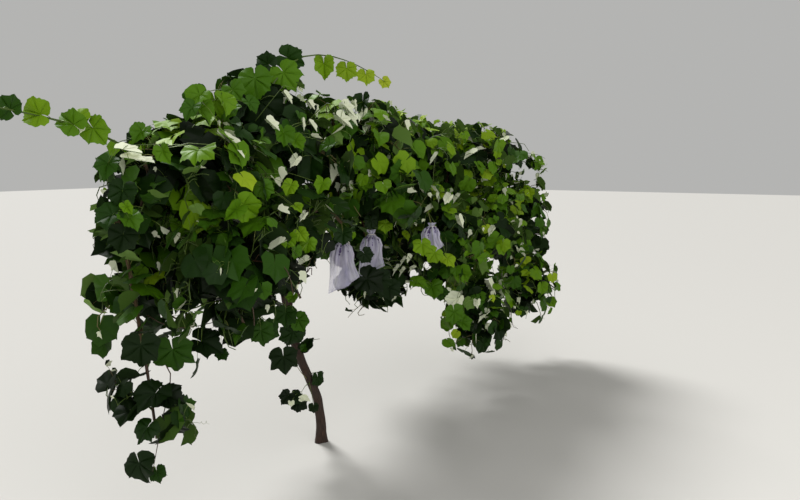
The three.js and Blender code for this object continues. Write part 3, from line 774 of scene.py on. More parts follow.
class Skeleton:
    """Centre lines of the trunk, its two limbs and the boughs."""

    def __init__(self) -> None:
        """Draws the trunk line and both limb lines once."""
        self.trunk = smooth_line([*TRUNK_POINTS, FORK], TRUNK_STEPS)
        self.left = self._side(LEFT_BEND_X, LEFT_END_X)
        self.right = self._side(RIGHT_BEND_X, RIGHT_END_X)

    @staticmethod
    def _side(bend_x: float, end_x: float) -> Array:
        """Climbs from the fork to the bend and runs on as the cordon, waved by a sine of the distance."""
        fork = np.asarray(FORK)
        spread = math.copysign(ARM_START_SPREAD, bend_x - fork[0])
        points = [fork + (spread, 0, -ARM_START_SINK)]
        for across, rise in ARM_RISE:
            points.append(np.array([
                lerp(fork[0], bend_x, across), lerp(fork[1], CORDON_Y, across), lerp(fork[2], CORDON_HEIGHT, rise),
            ]))
        points.append(np.array([bend_x, CORDON_Y, CORDON_HEIGHT - BEND_DROP]))
        pieces = math.ceil(abs(end_x - bend_x) / CORDON_POINT_PITCH)
        for x in np.linspace(bend_x, end_x, pieces + 1)[1:]:
            wave = CORDON_WAVE * math.sin(2 * math.pi * (x - bend_x) / CORDON_WAVELENGTH)
            points.append(np.array([x, CORDON_Y - wave, CORDON_HEIGHT + wave]))
        return smooth_line(points, LIMB_STEPS)

    def root(self, x: float) -> Array:
        """Point on the axis of the arm or cordon at a place along the row."""
        line = self.left if x < FORK[0] else self.right
        return line[np.argmin(np.abs(line[:, 0] - x))]

    def cordon(self, low: float, high: float) -> Array:
        """The stretch of both limbs' level part between two places along the row."""
        line = np.concatenate([self.left[::-1], self.right])
        return line[(line[:, 0] > low) & (line[:, 0] < high) & (line[:, 2] > CORDON_HEIGHT - BEND_DROP)]

    def bough(self, space: Space, count: int = 30) -> Array:
        """Line of the bough that carries a space: from the cordon towards its middle, arched a little.

        Args:
            space: the space that the bough enters.
            count: how many points the line has.

        Returns:
            The bough's centre line.
        """
        root = self.root(space.root_x)
        share = min(1.0, ENTRY_DEPTH / float(space.depth(root)))
        inward = np.asarray(space.centre) - root
        length = max(float(np.linalg.norm(inward)) * (1 - share), BOUGH_MIN_LENGTH)
        tip = root + unit(inward) * length
        middle = (root + tip) / 2 + UP * BOUGH_ARCH * length
        return smooth_line([root, middle, tip], count)


@dataclass
class BarkLimb:
    """A woody limb whose skin has the relief of stringy bark."""

    line: Array
    radii: Array
    wood: Wood
    sides: int
    seed: int
    lobes: Array | None = None
    ridges: tuple[int, ...] = (5, 8, 13, 21)
    slow_wander: tuple[Pair, ...] = ((0.3, 0.9), (9, 22))
    quick_wander: tuple[Pair, ...] = ((0.1, 0.4), (40, 80))
    mean_relief: float = 1.2
    relief_share: float = 0.8
    swell_share: float = 0.5
    lobe_count: int = 3

    def shell(self) -> Shell:
        """Carries a ring of bark along the limb.

        The radius at an angle and a distance along is the limb's radius plus the bark's depth times a sum of
        ridges, each 1 less the absolute sine of a whole number of half turns that wanders slowly along the limb,
        plus shallow swellings. Rings stay level at the ground cut.

        Returns:
            The limb, closed at both ends, with its grain in metres round and along it.
        """
        rng = np.random.default_rng(self.seed)
        steps = np.linalg.norm(np.diff(self.line, axis=0), axis=1)
        along = np.concatenate([[0.0], np.cumsum(steps)])[:, None]
        angle = (TURN * np.arange(self.sides) / self.sides)[None]
        relief = np.zeros((len(self.line), self.sides))
        for turns in self.ridges:
            wander = 0.0
            for sizes, pitches in (self.slow_wander, self.quick_wander):
                size, pitch = rng.uniform(*sizes), rng.uniform(*pitches)
                wander = wander + size * np.sin(along * pitch + rng.uniform(*ANY_START))
            ridge = 1 - np.abs(np.sin(turns * angle / 2 + rng.uniform(*ANY_START) + wander))
            fade = 0.6 + 0.4 * np.sin(along * rng.uniform(15, 45) + angle + rng.uniform(*ANY_START))
            relief += ridge * fade * (self.ridges[0] / turns) ** 0.5
        swell = np.sin(along * rng.uniform(14, 20) + 2 * angle) + np.sin(along * rng.uniform(31, 44) - angle)
        depth = self.wood.value
        relief = depth * (relief - self.mean_relief) * self.relief_share
        radius = self.radii[:, None] + relief + depth * self.swell_share * swell
        if self.lobes is not None:
            radius = radius + self.lobes[:, None] * np.cos(self.lobe_count * angle)
        tangents = unit(np.gradient(self.line, axis=0))
        tangents[0] = np.where(self.wood is Wood.OLD, UP, tangents[0])
        across = np.eye(3)[np.argmin(np.abs(unit(self.line[-1] - self.line[0])))]
        normals = unit(np.cross(tangents, across))[:, None]
        binormals = np.cross(tangents[:, None], normals)
        wall = self.line[:, None] + radius[..., None] * (
            normals * np.cos(angle)[..., None] + binormals * np.sin(angle)[..., None]
        )
        wall[..., 2] = np.maximum(wall[..., 2], 0.0)
        return self._closed(wall, along[:, 0])

    def _closed(self, wall: Array, along: Array) -> Shell:
        """Joins the rings into quads with their grain, and closes the ends on two shrinking rings.

        Args:
            wall: the rings' points, of shape (rings, sides, 3).
            along: distance along the limb at each ring.

        Returns:
            The closed shell.
        """
        rings, sides = wall.shape[:2]
        quads = ring_quads(rings, sides)
        ring, side = np.divmod(quads[:, 0], sides)
        girth = TURN * float(np.mean(self.radii))
        left, right = side / sides * girth, (side + 1) / sides * girth
        low, high = along[ring], along[ring + 1]
        corners = ((left, low), (right, low), (right, high), (left, high))
        grain = np.stack([np.stack(corner, axis=1) for corner in corners], axis=1)
        points = np.concatenate([wall.reshape(-1, 3), wall[:1].mean(axis=1), wall[-1:].mean(axis=1)])
        return Shell(points, quads, ring_caps(rings, sides), grain=grain)


@dataclass(frozen=True)
class WoodyFrame:
    """Trunk, arms, cordons and boughs, all with the bark's relief."""

    skeleton: Skeleton
    spaces: Sequence[Space]
    limb_rings: int = 480
    trunk_sides: int = 84
    limb_sides: int = 34
    bough_sides: int = 16
    cut_run: float = 0.020
    cut_gap: float = 0.002
    cut_share: float = 0.9
    tip_start: float = 0.985
    tip_run: float = 0.015
    tip_share: float = 0.97

    def trunk(self) -> Shell:
        """Tapers evenly, swells into the fork and flares in three lobes at the ground."""
        line = self.skeleton.trunk
        share = np.linspace(0, 1, len(line))
        steps = np.linalg.norm(np.diff(line, axis=0), axis=1)
        height = np.concatenate([[0.0], np.cumsum(steps)])
        flare = FLARE_RADIUS * np.exp(-height / FLARE_HEIGHT)
        head = (FORK_RADIUS - TRUNK_TOP_RADIUS) * np.exp((height - height[-1]) / HEAD_HEIGHT)
        radii = lerp(TRUNK_RADIUS, TRUNK_TOP_RADIUS, share) + flare + head
        end = np.clip((height[-1] + self.cut_gap - height) / self.cut_run, 0, 1)
        radii = radii * np.sqrt(1 - (1 - end) ** 2 * self.cut_share)
        return BarkLimb(line, radii, Wood.OLD, self.trunk_sides, seed=3, lobes=FLARE_LOBES * flare).shell()

    def limb(self, line: Array, seed: int) -> Shell:
        """Tapers from the arm's root to the cordon's tip and rounds off the tip."""
        line = resample(line, self.limb_rings)
        share = np.linspace(0, 1, len(line))
        round_off = np.sqrt(1 - np.clip((share - self.tip_start) / self.tip_run, 0, 1) ** 2 * self.tip_share)
        radii = lerp(ARM_RADIUS, CORDON_TIP_RADIUS, share) * round_off
        return BarkLimb(line, radii, Wood.MIDDLE, self.limb_sides, seed).shell()

    def bough(self, line: Array, index: int) -> Shell:
        """Tapers a bough, with a knuckle at its root and slow swellings that differ from bough to bough."""
        share = np.linspace(0, 1, len(line))
        knuckle = 1 + 0.5 * np.exp(-((share / 0.12) ** 2)) + 0.12 * np.sin(share * 19 + index)
        radii = lerp(BOUGH_RADIUS, BOUGH_TIP_RADIUS, share) * knuckle
        return BarkLimb(line, radii, Wood.YOUNG, self.bough_sides, seed=20 + index).shell()

    def build(self, bark: bpy.types.Material, young: bpy.types.Material, extra: Sequence[tuple[str, Array]]) -> None:
        """Builds every woody piece.

        Args:
            bark: finish of the old wood.
            young: finish of the boughs.
            extra: node name and line of each bough that carries no space.
        """
        place(self.trunk().piece("bark_trunk", [bark]), ["trunk"])
        left = self.limb(self.skeleton.left, seed=5)
        place(left.piece("bark_left_limb", [bark]), ["left_arm", "left_cordon"])
        right = self.limb(self.skeleton.right, seed=7)
        place(right.piece("bark_right_limb", [bark]), ["right_arm", "right_cordon"])
        lines = [(f"bough_{space.name}", self.skeleton.bough(space)) for space in self.spaces]
        lines.extend(extra)
        boughs = Shell.joined(self.bough(line, index) for index, (_, line) in enumerate(lines))
        place(boughs.piece("bark_boughs", [young]), [name for name, _ in lines])


# Half of a leaf's outline from its tip round to the base: angle from the midrib in degrees, and the radius of a
# full blade and of a lobed one, in shares of the length from stalk to tip.
HALF_OUTLINE = np.array((
    (0, 1.00, 1.00), (13, 0.89, 0.83), (28, 0.84, 0.68), (39, 0.87, 0.78), (51, 0.93, 0.92), (62, 0.86, 0.78),
    (74, 0.80, 0.64), (89, 0.79, 0.70), (103, 0.81, 0.79), (122, 0.76, 0.70), (140, 0.70, 0.62),
    (156, 0.62, 0.56), (168, 0.53, 0.47), (176, 0.42, 0.38),
))
FINE_FLEX = 1.7
VEIN_BASE = 0.007
VEIN_TIP = 0.003
LEAF_WIDTH_OF_LENGTH = 1.50
LEAF_THICKNESS = 0.0012
HAND_SEED = 40
CANE_STEPS = 60
BEARER_STEPS = 40
CANE_RINGS = 11
CANE_SIDES = 5
TENDRIL_RINGS = 26
FAN_THICKNESS = 0.0032


@dataclass(frozen=True)
class Grade:
    """How finely a leaf is drawn: its rings, the angles of its columns and main veins, and its teeth."""

    rings: tuple[float, ...]
    angles: tuple[float, ...]
    veins: tuple[float, ...]
    teeth: float
    ringed_below: bool


PLAIN_LEAF = Grade((0.55, 1.0), (14, 29, 66, 84, 104, 136, 172), (50,), 0.0, False)
FINE_LEAF = Grade(
    (0.25, 0.50, 0.76, 1.0), (7, 14, 21, 28, 35, 43, 59, 67, 75, 83, 93, 112, 121, 131, 141, 152, 164, 175),
    (51, 103), 0.022, True,
)


@dataclass
class LeafBatch:
    """Many leaves as arrays: where each blade meets its stalk, how it lies, and its colours."""

    node: Array
    stalk: Array
    tip: Array
    face: Array
    width: Array
    tone: Array
    under: Array
    stalk_tone: Array
    lobing: Array
    fold: Array

    @staticmethod
    def joined(batches: Sequence["LeafBatch"]) -> "LeafBatch":
        """Puts several batches in one."""
        return LeafBatch(*(np.concatenate([getattr(batch, entry.name) for batch in batches])
                           for entry in fields(LeafBatch)))

    def __len__(self) -> int:
        """How many leaves the batch holds."""
        return len(self.width)

    def ends(self) -> Array:
        """The tip of each blade."""
        return self.stalk + self.tip * (self.width / LEAF_WIDTH_OF_LENGTH)[:, None]

    def chosen(self, keep: Array) -> "LeafBatch":
        """The leaves that a mask keeps."""
        return LeafBatch(*(getattr(self, entry.name)[keep] for entry in fields(LeafBatch)))


@dataclass
class LeafBlade:
    """The shape that every leaf of one grade shares, as a fan of rings and columns.

    A pair of shares is the range of a random draw.

    The upper side has every ring. The underside shares the rim and, on a fine leaf, follows the upper side's
    rings one thickness lower; on a plain leaf it closes on one point.
    """

    grade: Grade
    vein_gap: float = 0.01
    edge_stray: float = 0.035
    narrowing: Pair = (0.94, 1.08)
    droop: Pair = (0.05, 0.30)
    side_droop: Pair = (0.02, 0.26)
    wave: Pair = (0.02, 0.09)
    quilt: float = 0.040
    vein_quilt: float = -0.7

    def __post_init__(self) -> None:
        """Lays out the columns round the blade and numbers the points of its two sides."""
        grade = self.grade
        self.rings = np.asarray(grade.rings)
        columns = self._columns()
        degrees = np.abs(columns[:, 0])
        tooth = 1 + grade.teeth * np.where(columns[:, 1] == 0, (-1.0) ** np.arange(len(columns)), 0.5)
        self.angle = np.radians(columns[:, 0])
        self.edge = columns[:, 1]
        self.full = np.interp(degrees, HALF_OUTLINE[:, 0], HALF_OUTLINE[:, 1]) * tooth
        self.lobed = np.interp(degrees, HALF_OUTLINE[:, 0], HALF_OUTLINE[:, 2]) * tooth
        self._number()

    def _columns(self) -> Array:
        """Lists the columns from one basal lobe round the tip to the other: angle and side of a vein."""
        half = [(angle, 0) for angle in self.grade.angles]
        for angle in self.grade.veins:
            half.append((angle - self.vein_gap, -1))
            half.append((angle + self.vein_gap, 1))
        half.sort()
        mirrored = [(-angle, -side) for angle, side in reversed(half)]
        return np.array([*mirrored, (-self.vein_gap, -1), (self.vein_gap, 1), *half], float)

    def _number(self) -> None:
        """Numbers the points, from the stalk's point over the upper rings to those below, and lists the faces."""
        rings, columns = len(self.rings), len(self.angle)
        upper = 1 + np.arange(rings * columns).reshape(rings, columns)
        count = 1 + rings * columns
        vein = (self.edge[:-1] == -1) & (self.edge[1:] == 1)
        zero = np.zeros(columns - 1, int)
        top = np.stack([zero, upper[0, 1:], upper[0, :-1]], axis=1)
        above = np.stack([upper[:-1, :-1], upper[:-1, 1:], upper[1:, 1:], upper[1:, :-1]], axis=-1).reshape(-1, 4)
        vein_quads = np.tile(vein, rings - 1)
        if self.grade.ringed_below:
            lower = upper.copy()
            inner = (rings - 1) * (columns - 2)
            lower[:-1, 1:-1] = count + np.arange(inner).reshape(rings - 1, columns - 2)
            bottom = np.stack([zero, lower[0, :-1], lower[0, 1:]], axis=1)
            under = np.stack([lower[:-1, :-1], lower[1:, :-1], lower[1:, 1:], lower[:-1, 1:]], axis=-1).reshape(-1, 4)
            below_rings = np.repeat(self.rings[:-1], columns - 2)
            below_columns = np.tile(np.arange(1, columns - 1), rings - 1)
        else:
            loop = np.concatenate([[0], upper[:, 0], upper[-1, 1:-1], upper[::-1, -1]])
            bottom = np.stack([np.full(len(loop), count), loop, np.roll(loop, -1)], axis=1)
            under = np.zeros((0, 4), int)
            below_rings, below_columns = np.zeros(1), np.zeros(1, int)
        self.count = count + len(below_rings)
        self.ring_of = np.concatenate([[0], np.repeat(self.rings, columns), below_rings])
        self.column_of = np.concatenate([[0], np.tile(np.arange(columns), rings), below_columns])
        self.below = np.concatenate([np.zeros(count), np.ones(len(below_rings))])
        self.triangles = np.concatenate([top, bottom])
        self.triangle_sides = np.repeat([0, 1], [len(top), len(bottom)])
        self.triangle_veins = np.concatenate([vein, vein if len(under) else np.zeros(len(bottom), bool)])
        self.quads = np.concatenate([above, under])
        self.quad_sides = np.repeat([0, 1], [len(above), len(under)])
        self.quad_veins = np.concatenate([vein_quads, vein_quads[:len(under)]])

    def shell(self, leaves: LeafBatch, rng: np.random.Generator) -> Shell:
        """Shapes and places a batch of leaves.

        In its own plane a blade point lies at its ring's share of the outline's radius, in its column's
        direction, and vein columns stand aside by the vein's half width. Its height is a fold along the midrib,
        less a droop that grows with the square of the way to the tip and to the sides, plus a wave of the margin,
        plus a quilting that lifts the blade between the veins. The underside lies one thickness lower.

        Args:
            leaves: the leaves to draw.
            rng: random numbers for their shapes.

        Returns:
            The leaves as one shell, slots 0 and up as in leaf_slots.
        """
        count = len(leaves)
        lobing = leaves.lobing[:, None]
        stray = 1 + self.edge_stray * rng.standard_normal((count, len(self.angle)))
        radius = (lerp(self.full, self.lobed, lobing) * stray)[:, self.column_of] * self.ring_of
        direction = self.angle[self.column_of]
        edge = self.edge[self.column_of]
        aside = edge * np.where(self.ring_of > 0, lerp(VEIN_BASE, VEIN_TIP, self.ring_of), 0.0)
        fold = leaves.fold[:, None]
        narrowing = rng.uniform(*self.narrowing, (count, 1)) / np.sqrt(1 + fold**2)
        x = (radius * np.sin(direction) + aside * np.cos(direction)) * narrowing
        y = radius * np.cos(direction) - aside * np.sin(direction)
        flex = FINE_FLEX if self.grade.ringed_below else 1.0
        droop, side_droop, wave = (
            flex * rng.uniform(*shares, (count, 1)) for shares in (self.droop, self.side_droop, self.wave)
        )
        turn = rng.uniform(0, TURN, (count, 1))
        quilt = self.quilt * np.where(edge == 0, 1.0, self.vein_quilt) * 4 * self.ring_of * (1.15 - self.ring_of)
        z = (
            fold * np.abs(x) - droop * np.clip(y, 0, None) ** 2 - side_droop * x**2
            + wave * self.ring_of**2 * np.sin(3 * direction + turn) + quilt
        )
        length = (leaves.width / LEAF_WIDTH_OF_LENGTH)[:, None]
        lens = LEAF_THICKNESS if self.grade.ringed_below else FAN_THICKNESS
        depth = z * length - lens * self.below * (1.1 - self.ring_of)
        across = np.cross(leaves.tip, leaves.face)
        points = (
            leaves.stalk[:, None]
            + (x * length)[..., None] * across[:, None]
            + (y * length)[..., None] * leaves.tip[:, None]
            + depth[..., None] * leaves.face[:, None]
        )
        return copies(
            points, self.quads, self.triangles,
            quad_slots=leaf_slots(leaves, self.quad_sides, self.quad_veins),
            triangle_slots=leaf_slots(leaves, self.triangle_sides, self.triangle_veins),
        )


def leaf_slots(leaves: LeafBatch, sides: Array, veins: Array) -> Array:
    """Deals each face its slot: blade tones first, then veins, then undersides.

    Args:
        leaves: the leaves.
        sides: 0 for an upper face and 1 for a lower one.
        veins: true for a face on a main vein.

    Returns:
        The slot of each face of each leaf, flattened.
    """
    blades = len(BLADE_COLOURS)
    vein = blades + np.clip(leaves.tone * len(VEIN_COLOURS) // SUN_TONES, 0, len(VEIN_COLOURS) - 1)
    under = blades + len(VEIN_COLOURS) + leaves.under
    slots = np.where(sides[None] == 1, under[:, None], leaves.tone[:, None])
    return np.where(veins[None] & (sides[None] == 0), vein[:, None], slots).ravel()


@dataclass
class Growth:
    """What has grown in one region: leaves, and the lines of shoots, laterals, stalks and tendrils."""

    leaves: list[LeafBatch] = field(default_factory=list)
    shoots: list[Array] = field(default_factory=list)
    shoot_radii: list[Pair] = field(default_factory=list)
    shoot_slots: list[int] = field(default_factory=list)
    tendrils: list[Array] = field(default_factory=list)

    def add_shoot(self, line: Array, start: float, end: float, slot: int) -> None:
        """Keeps a shoot's line with the radii of its two ends and its colour slot."""
        self.shoots.append(resample(line, CANE_RINGS))
        self.shoot_radii.append((start, end))
        self.shoot_slots.append(slot)


@dataclass
class Mass:
    """The foliage of one space: a stem from its bough, arching shoots, short laterals, and leaves at each node.

    A pair of radii is for a line's two ends, a pair of shares is the range of a random draw, and a tone is added to
    the light of the space.
    """

    space: Space
    skeleton: Skeleton
    seed: int
    sights: Sights

    shoots: int = 15
    usual_width: float = 0.138
    crowding: float = 1.1
    stem_reach: float = 0.45
    stem_handle: float = 0.4
    stem_radii: Pair = (0.0062, 0.0048)
    # Sprays along the bough and the cordon: their negative tones are painted shade deep inside the mass
    bough_sprays: int = 4
    bare_bough_share: float = 0.25
    bough_tone: float = -0.05
    cordon_sprays: int = 4
    cordon_tone: float = -0.15
    cordon_width: float = 0.9

    attempts: int = 8
    easing: float = 0.07
    arch: float = 0.5
    crest_reach: float = 1.15
    shoot_reach: float = 0.90
    tip_start: float = 0.96
    tip_spread: float = 0.14
    proud: float = 1.12
    lateral_proud: float = 1.14
    sway: float = 0.006
    shoot_steps: int = 30
    line_margin: float = 0.004
    lowest_line: float = 0.1
    lowest_leaf: float = 0.05

    slot_shares: tuple[float, ...] = (0.76, 0.14, 0.10)
    shoot_radii: Pair = (0.0036, 0.0015)
    spray_stray: float = 0.13
    # Pale leaves: narrow, steeply folded leaves with the near-white underside, partly real undersides and partly
    # painted glints
    pale_sprays: float = 0.16
    pale_shares: Pair = (0.5, 0.15)
    lateral_pitch: float = 0.15
    lateral_radii: Pair = (0.0022, 0.0011)
    lateral_reach: Pair = (0.07, 0.16)
    lateral_width: Pair = (0.5, 0.8)

    inner_leaves: int = 5
    inner_width: Pair = (0.9, 1.15)
    inner_share: float = 0.62
    inner_depth: float = 0.92
    inner_tones: int = 3

    leaf_pitch: float = 0.46
    pitch_range: Pair = (0.9, 1.15)
    bare_share: float = 0.12
    tip_share: float = 0.72
    tip_widths: Pair = (0.62, 0.88)
    width_range: Pair = (0.78, 1.16)
    stalk_range: Pair = (0.45, 0.8)
    face_outward: float = 0.70
    face_up: float = 0.42
    face_stray: float = 0.42
    hang: float = 0.85
    turned_share: float = 0.07
    turned_width: float = 0.85
    height_light: float = 0.17
    skin_light: float = 0.35
    sun_light: float = 0.14
    leaf_stray: float = 0.09
    fresh_share: float = 0.3
    pale_folds: Pair = (1.2, 3.6)
    pale_widths: Pair = (0.32, 0.66)
    tendril_share: float = 0.25
    sight_margin: float = 0.34

    def __post_init__(self) -> None:
        """Takes the wood under the space and starts its own random numbers."""
        middle, reach = self.space.centre[0], self.space.reach[0]
        self.bough = self.skeleton.bough(self.space)
        self.cordon = self.skeleton.cordon(middle - reach, middle + reach)
        self.space = leaf_space(self.space)
        self.rng = np.random.default_rng(self.seed)
        self.pale_share = 0.0

    def stem(self) -> Array:
        """Bends from the bough's tip into the space, up for a crown and down for a curtain."""
        start = self.bough[-1]
        direction = unit(self.bough[-1] - self.bough[-3])
        end = self.space.at(UP if self.space.rises else -UP, self.stem_reach)
        handle = start + direction * self.stem_handle * np.linalg.norm(end - start)
        return bezier([start, handle, end], 24)

    def grow(self, growth: Growth) -> None:
        """Grows the stem, its shoots spread by the golden angle, their laterals and all leaves."""
        stem = self.stem()
        growth.add_shoot(stem, *self.stem_radii, 2)
        width = self.space.width
        sprays = 1.0
        if self.space.dresses_bough:
            sprays = self.bough_sprays * min(1.0, self.bare_bough_share + self.space.fullness)
        for _ in range(round(sprays)):
            self.set_leaves(growth, self.bough[1:], width, self.bough_tone, 1, free=True)
        if self.space.rises:
            for index in range(self.cordon_sprays):
                run = self.cordon[:: (-1) ** index]
                self.set_leaves(growth, run, self.cordon_width * width, self.cordon_tone, 1, free=True)
        phase = self.rng.uniform(0, TURN)
        shoots = round(self.shoots * self.space.fullness * (self.usual_width / width) ** self.crowding)
        for index in range(shoots):
            height = 1 - (2 * index + 0.4) / shoots
            level = math.sqrt(1 - height * height)
            turn = index * GOLDEN_ANGLE + phase
            out = np.array([level * math.cos(turn), level * math.sin(turn), height])
            line = self.shoot(stem, out)
            if line is not None:
                self.dress(growth, line)

    def shoot(self, stem: Array, out: Array) -> Array | None:
        """Arches from the stem over a crest to a tip near the skin of the space, or gives up.

        Args:
            stem: the stem's line.
            out: direction of the tip from the middle of the space.

        Returns:
            The shoot's line, or None where it would leave the space.
        """
        steps = self.shoot_steps
        for attempt in range(self.attempts):
            easing = self.easing * attempt
            root = stem[int(lerp(4, len(stem) - 1, self.rng.random()))]
            crest = self.space.at(unit(out + self.arch * UP), self.crest_reach - easing)
            reach = self.shoot_reach * (self.tip_start + self.tip_spread * self.rng.random() - easing)
            line = resample(bezier([root, crest, self.space.at(out, reach)], steps), steps)
            if self.is_clear(line) and np.all(self.space.depth(line) <= self.proud):
                sway = self.rng.normal(0, self.sway, (steps, 3))
                return line + sway * np.linspace(0, 1, steps)[:, None]
        return None

    def is_clear(self, line: Array) -> bool:
        """Tells whether a line stays within the crown's edges and hides nothing that must show."""
        inside = np.all(under_top(line) & (line[:, 2] > self.lowest_line))
        if not self.space.dresses_bough:
            inside &= np.all(over_foot(line))
        return bool(inside) and not np.any(self.sights.hidden_by(line, self.line_margin))

    def dress(self, growth: Growth, line: Array) -> None:
        """Sets leaves along a shoot, and laterals with smaller leaves at some of its nodes."""
        rng = self.rng
        slot = int(rng.choice(3, p=self.slot_shares))
        growth.add_shoot(line, *self.shoot_radii, slot)
        spray = self.spray_stray * rng.standard_normal()
        self.pale_share = self.pale_shares[0] if rng.random() < self.pale_sprays else self.pale_shares[1]
        self.set_leaves(growth, line, self.space.width, spray, slot)
        self.set_inner_leaves(growth, line, slot)
        length = float(np.linalg.norm(np.diff(line, axis=0), axis=1).sum())
        for _ in range(int(length / self.lateral_pitch)):
            lateral = self.lateral(line)
            if self.is_clear(lateral) and self.space.depth(lateral[-1]) < self.lateral_proud:
                growth.add_shoot(lateral, *self.lateral_radii, slot)
                width = rng.uniform(*self.lateral_width) * self.space.width
                self.set_leaves(growth, lateral, width, spray, slot)

    def lateral(self, line: Array) -> Array:
        """Runs aside from some node of a shoot, outward and a little up, and bends down at its tip."""
        rng = self.rng
        index = int(rng.integers(8, len(line) - 3))
        start = line[index]
        tangent = unit(line[index + 1] - line[index - 1])
        outward = self.space.outward(start)
        side = unit(np.cross(tangent, outward)) * rng.choice((-1, 1))
        run = unit(0.3 * tangent + 0.7 * side + 0.5 * outward + 0.35 * UP + rng.normal(0, 0.25, 3))
        reach = rng.uniform(*self.lateral_reach)
        end = start + run * reach - UP * 0.25 * reach
        return bezier([start, start + run * 0.6 * reach, end], 20)

    def set_inner_leaves(self, growth: Growth, line: Array, slot: int) -> None:
        """Sets dark shaded leaves round the inner half of a shoot, facing every way.

        Args:
            growth: where the leaves are kept.
            line: the shoot.
            slot: colour slot of the shoot.
        """
        rng, count = self.rng, self.inner_leaves
        node = line[rng.integers(3, int(self.inner_share * len(line)), count)]
        outward = self.space.outward(node)
        run = unit(rng.normal(0, 0.7, (count, 3)) + 0.5 * outward)
        width = self.space.width * rng.uniform(*self.inner_width, count)
        stalk = node + run * (0.6 * width)[:, None]
        face = unit(0.7 * outward + 0.2 * UP + rng.normal(0, 0.5, (count, 3)))
        tip = across_face(run - 0.9 * UP, face)
        tone = rng.integers(0, self.inner_tones, count)
        none = np.zeros(count, int)
        lobing, fold = rng.uniform(0, 0.6, count), rng.normal(0.16, 0.20, count)
        batch = LeafBatch(node, stalk, tip, face, width, tone, none, none + slot, lobing, fold)
        inside = self.space.depth(batch.ends()) < self.inner_depth
        growth.leaves.append(batch.chosen(inside & self.has_room(batch)))

    def set_leaves(
        self, growth: Growth, line: Array, width: float, spray: float, slot: int, free: bool = False,
    ) -> None:
        """Sets a leaf at each node of a line, from its tip inward, on alternate sides.

        A leaf's light is that of its space, plus shares for its height in the space, its nearness to the skin, its
        face towards the sun, its spray and itself. The light picks the tone of its blade and underside.

        Args:
            growth: where the leaves are kept.
            line: the shoot or lateral.
            width: width of a full-grown leaf here.
            spray: how much lighter or darker this spray is than its mass.
            slot: colour slot of the shoot, which its leaf stalks follow.
            free: whether the leaves may stand outside the space.
        """
        rng = self.rng
        steps = np.linalg.norm(np.diff(line, axis=0), axis=1)
        length = float(steps.sum())
        pitch = self.leaf_pitch * width * rng.uniform(*self.pitch_range)
        share = 1 - np.arange(0.004, length * (1 - self.bare_share), pitch) / length
        station = share * (len(line) - 1)
        low = np.clip(station.astype(int), 0, len(line) - 2)
        node = lerp(line[low], line[low + 1], (station - low)[:, None])
        tangent = unit(line[low + 1] - line[low])
        count = len(node)
        outward = self.space.outward(node)
        side = np.where((np.arange(count) + rng.integers(2)) % 2, 1.0, -1.0)[:, None]
        growing = self.tip_widths[0] if rng.random() < 0.5 else self.tip_widths[1]
        young = np.clip((share - self.tip_share) / (1 - self.tip_share), 0, 1)
        widths = width * lerp(1.0, growing, young) * rng.uniform(*self.width_range, count)
        run = unit(
            0.75 * side * np.cross(tangent, outward) + 0.35 * outward + 0.25 * UP + 0.2 * tangent
            + rng.normal(0, 0.28, (count, 3))
        )
        stalk = node + run * (widths * rng.uniform(*self.stalk_range, count))[:, None]
        stray = rng.normal(0, self.face_stray, (count, 3))
        face = unit(self.face_outward * outward + self.face_up * UP + stray)
        turned = rng.random(count) < self.turned_share
        face = np.where(turned[:, None], unit(-0.7 * outward + 0.2 * UP + 0.8 * stray), face)
        tip = across_face(0.45 * run + 0.15 * tangent - self.hang * UP + rng.normal(0, 0.3, (count, 3)), face)
        depth = np.clip(self.space.depth(stalk), 0, 1)
        height = (node[:, 2] - self.space.centre[2]) / self.space.reach[2]
        light = (
            self.space.light + self.height_light * height + self.skin_light * (depth - 0.75)
            + self.sun_light * (face @ SUN) + spray + self.leaf_stray * rng.standard_normal(count)
        )
        tone = np.clip(np.round(light * (SUN_TONES - 1)), 0, SUN_TONES - 1).astype(int)
        budding = (growing == self.tip_widths[0]) & (young > 0.75) & (light > 0.5)
        tone = np.where(budding & (rng.random(count) < self.fresh_share), YOUNG_TONE, tone)
        under = np.clip(np.round(light * 1.9 + rng.normal(0, 0.35, count)), 0, GLINT_UNDERSIDE - 1).astype(int)
        # Painted glints, partly real pale undersides: some leaves become narrow folded slivers with the near-white
        # underside
        pale = (light > 0.0) & (rng.random(count) < self.pale_share)
        stalk_tone = np.where(rng.random(count) < 0.8, slot, rng.integers(0, 3, count))
        lobing = rng.uniform(0.0, 0.6, count) + 0.9 * pale
        fold = np.where(pale, rng.uniform(*self.pale_folds, count), rng.normal(0.22, 0.25, count))
        narrow = np.where(pale, rng.uniform(*self.pale_widths, count), 1.0)
        widths = widths * narrow * np.where(turned, self.turned_width, 1.0)
        under = np.where(pale, GLINT_UNDERSIDE, under)
        batch = LeafBatch(node, stalk, tip, face, widths, tone, under, stalk_tone, lobing, fold)
        inside = (self.space.depth(batch.ends()) < self.proud) | free
        growth.leaves.append(batch.chosen(inside & self.has_room(batch)))
        if count > 4 and rng.random() < self.tendril_share:
            tendril = self.tendril(node[2], outward[2])
            if self.is_clear(tendril) and np.all(self.within_sides(tendril, tendril)):
                growth.tendrils.append(tendril)

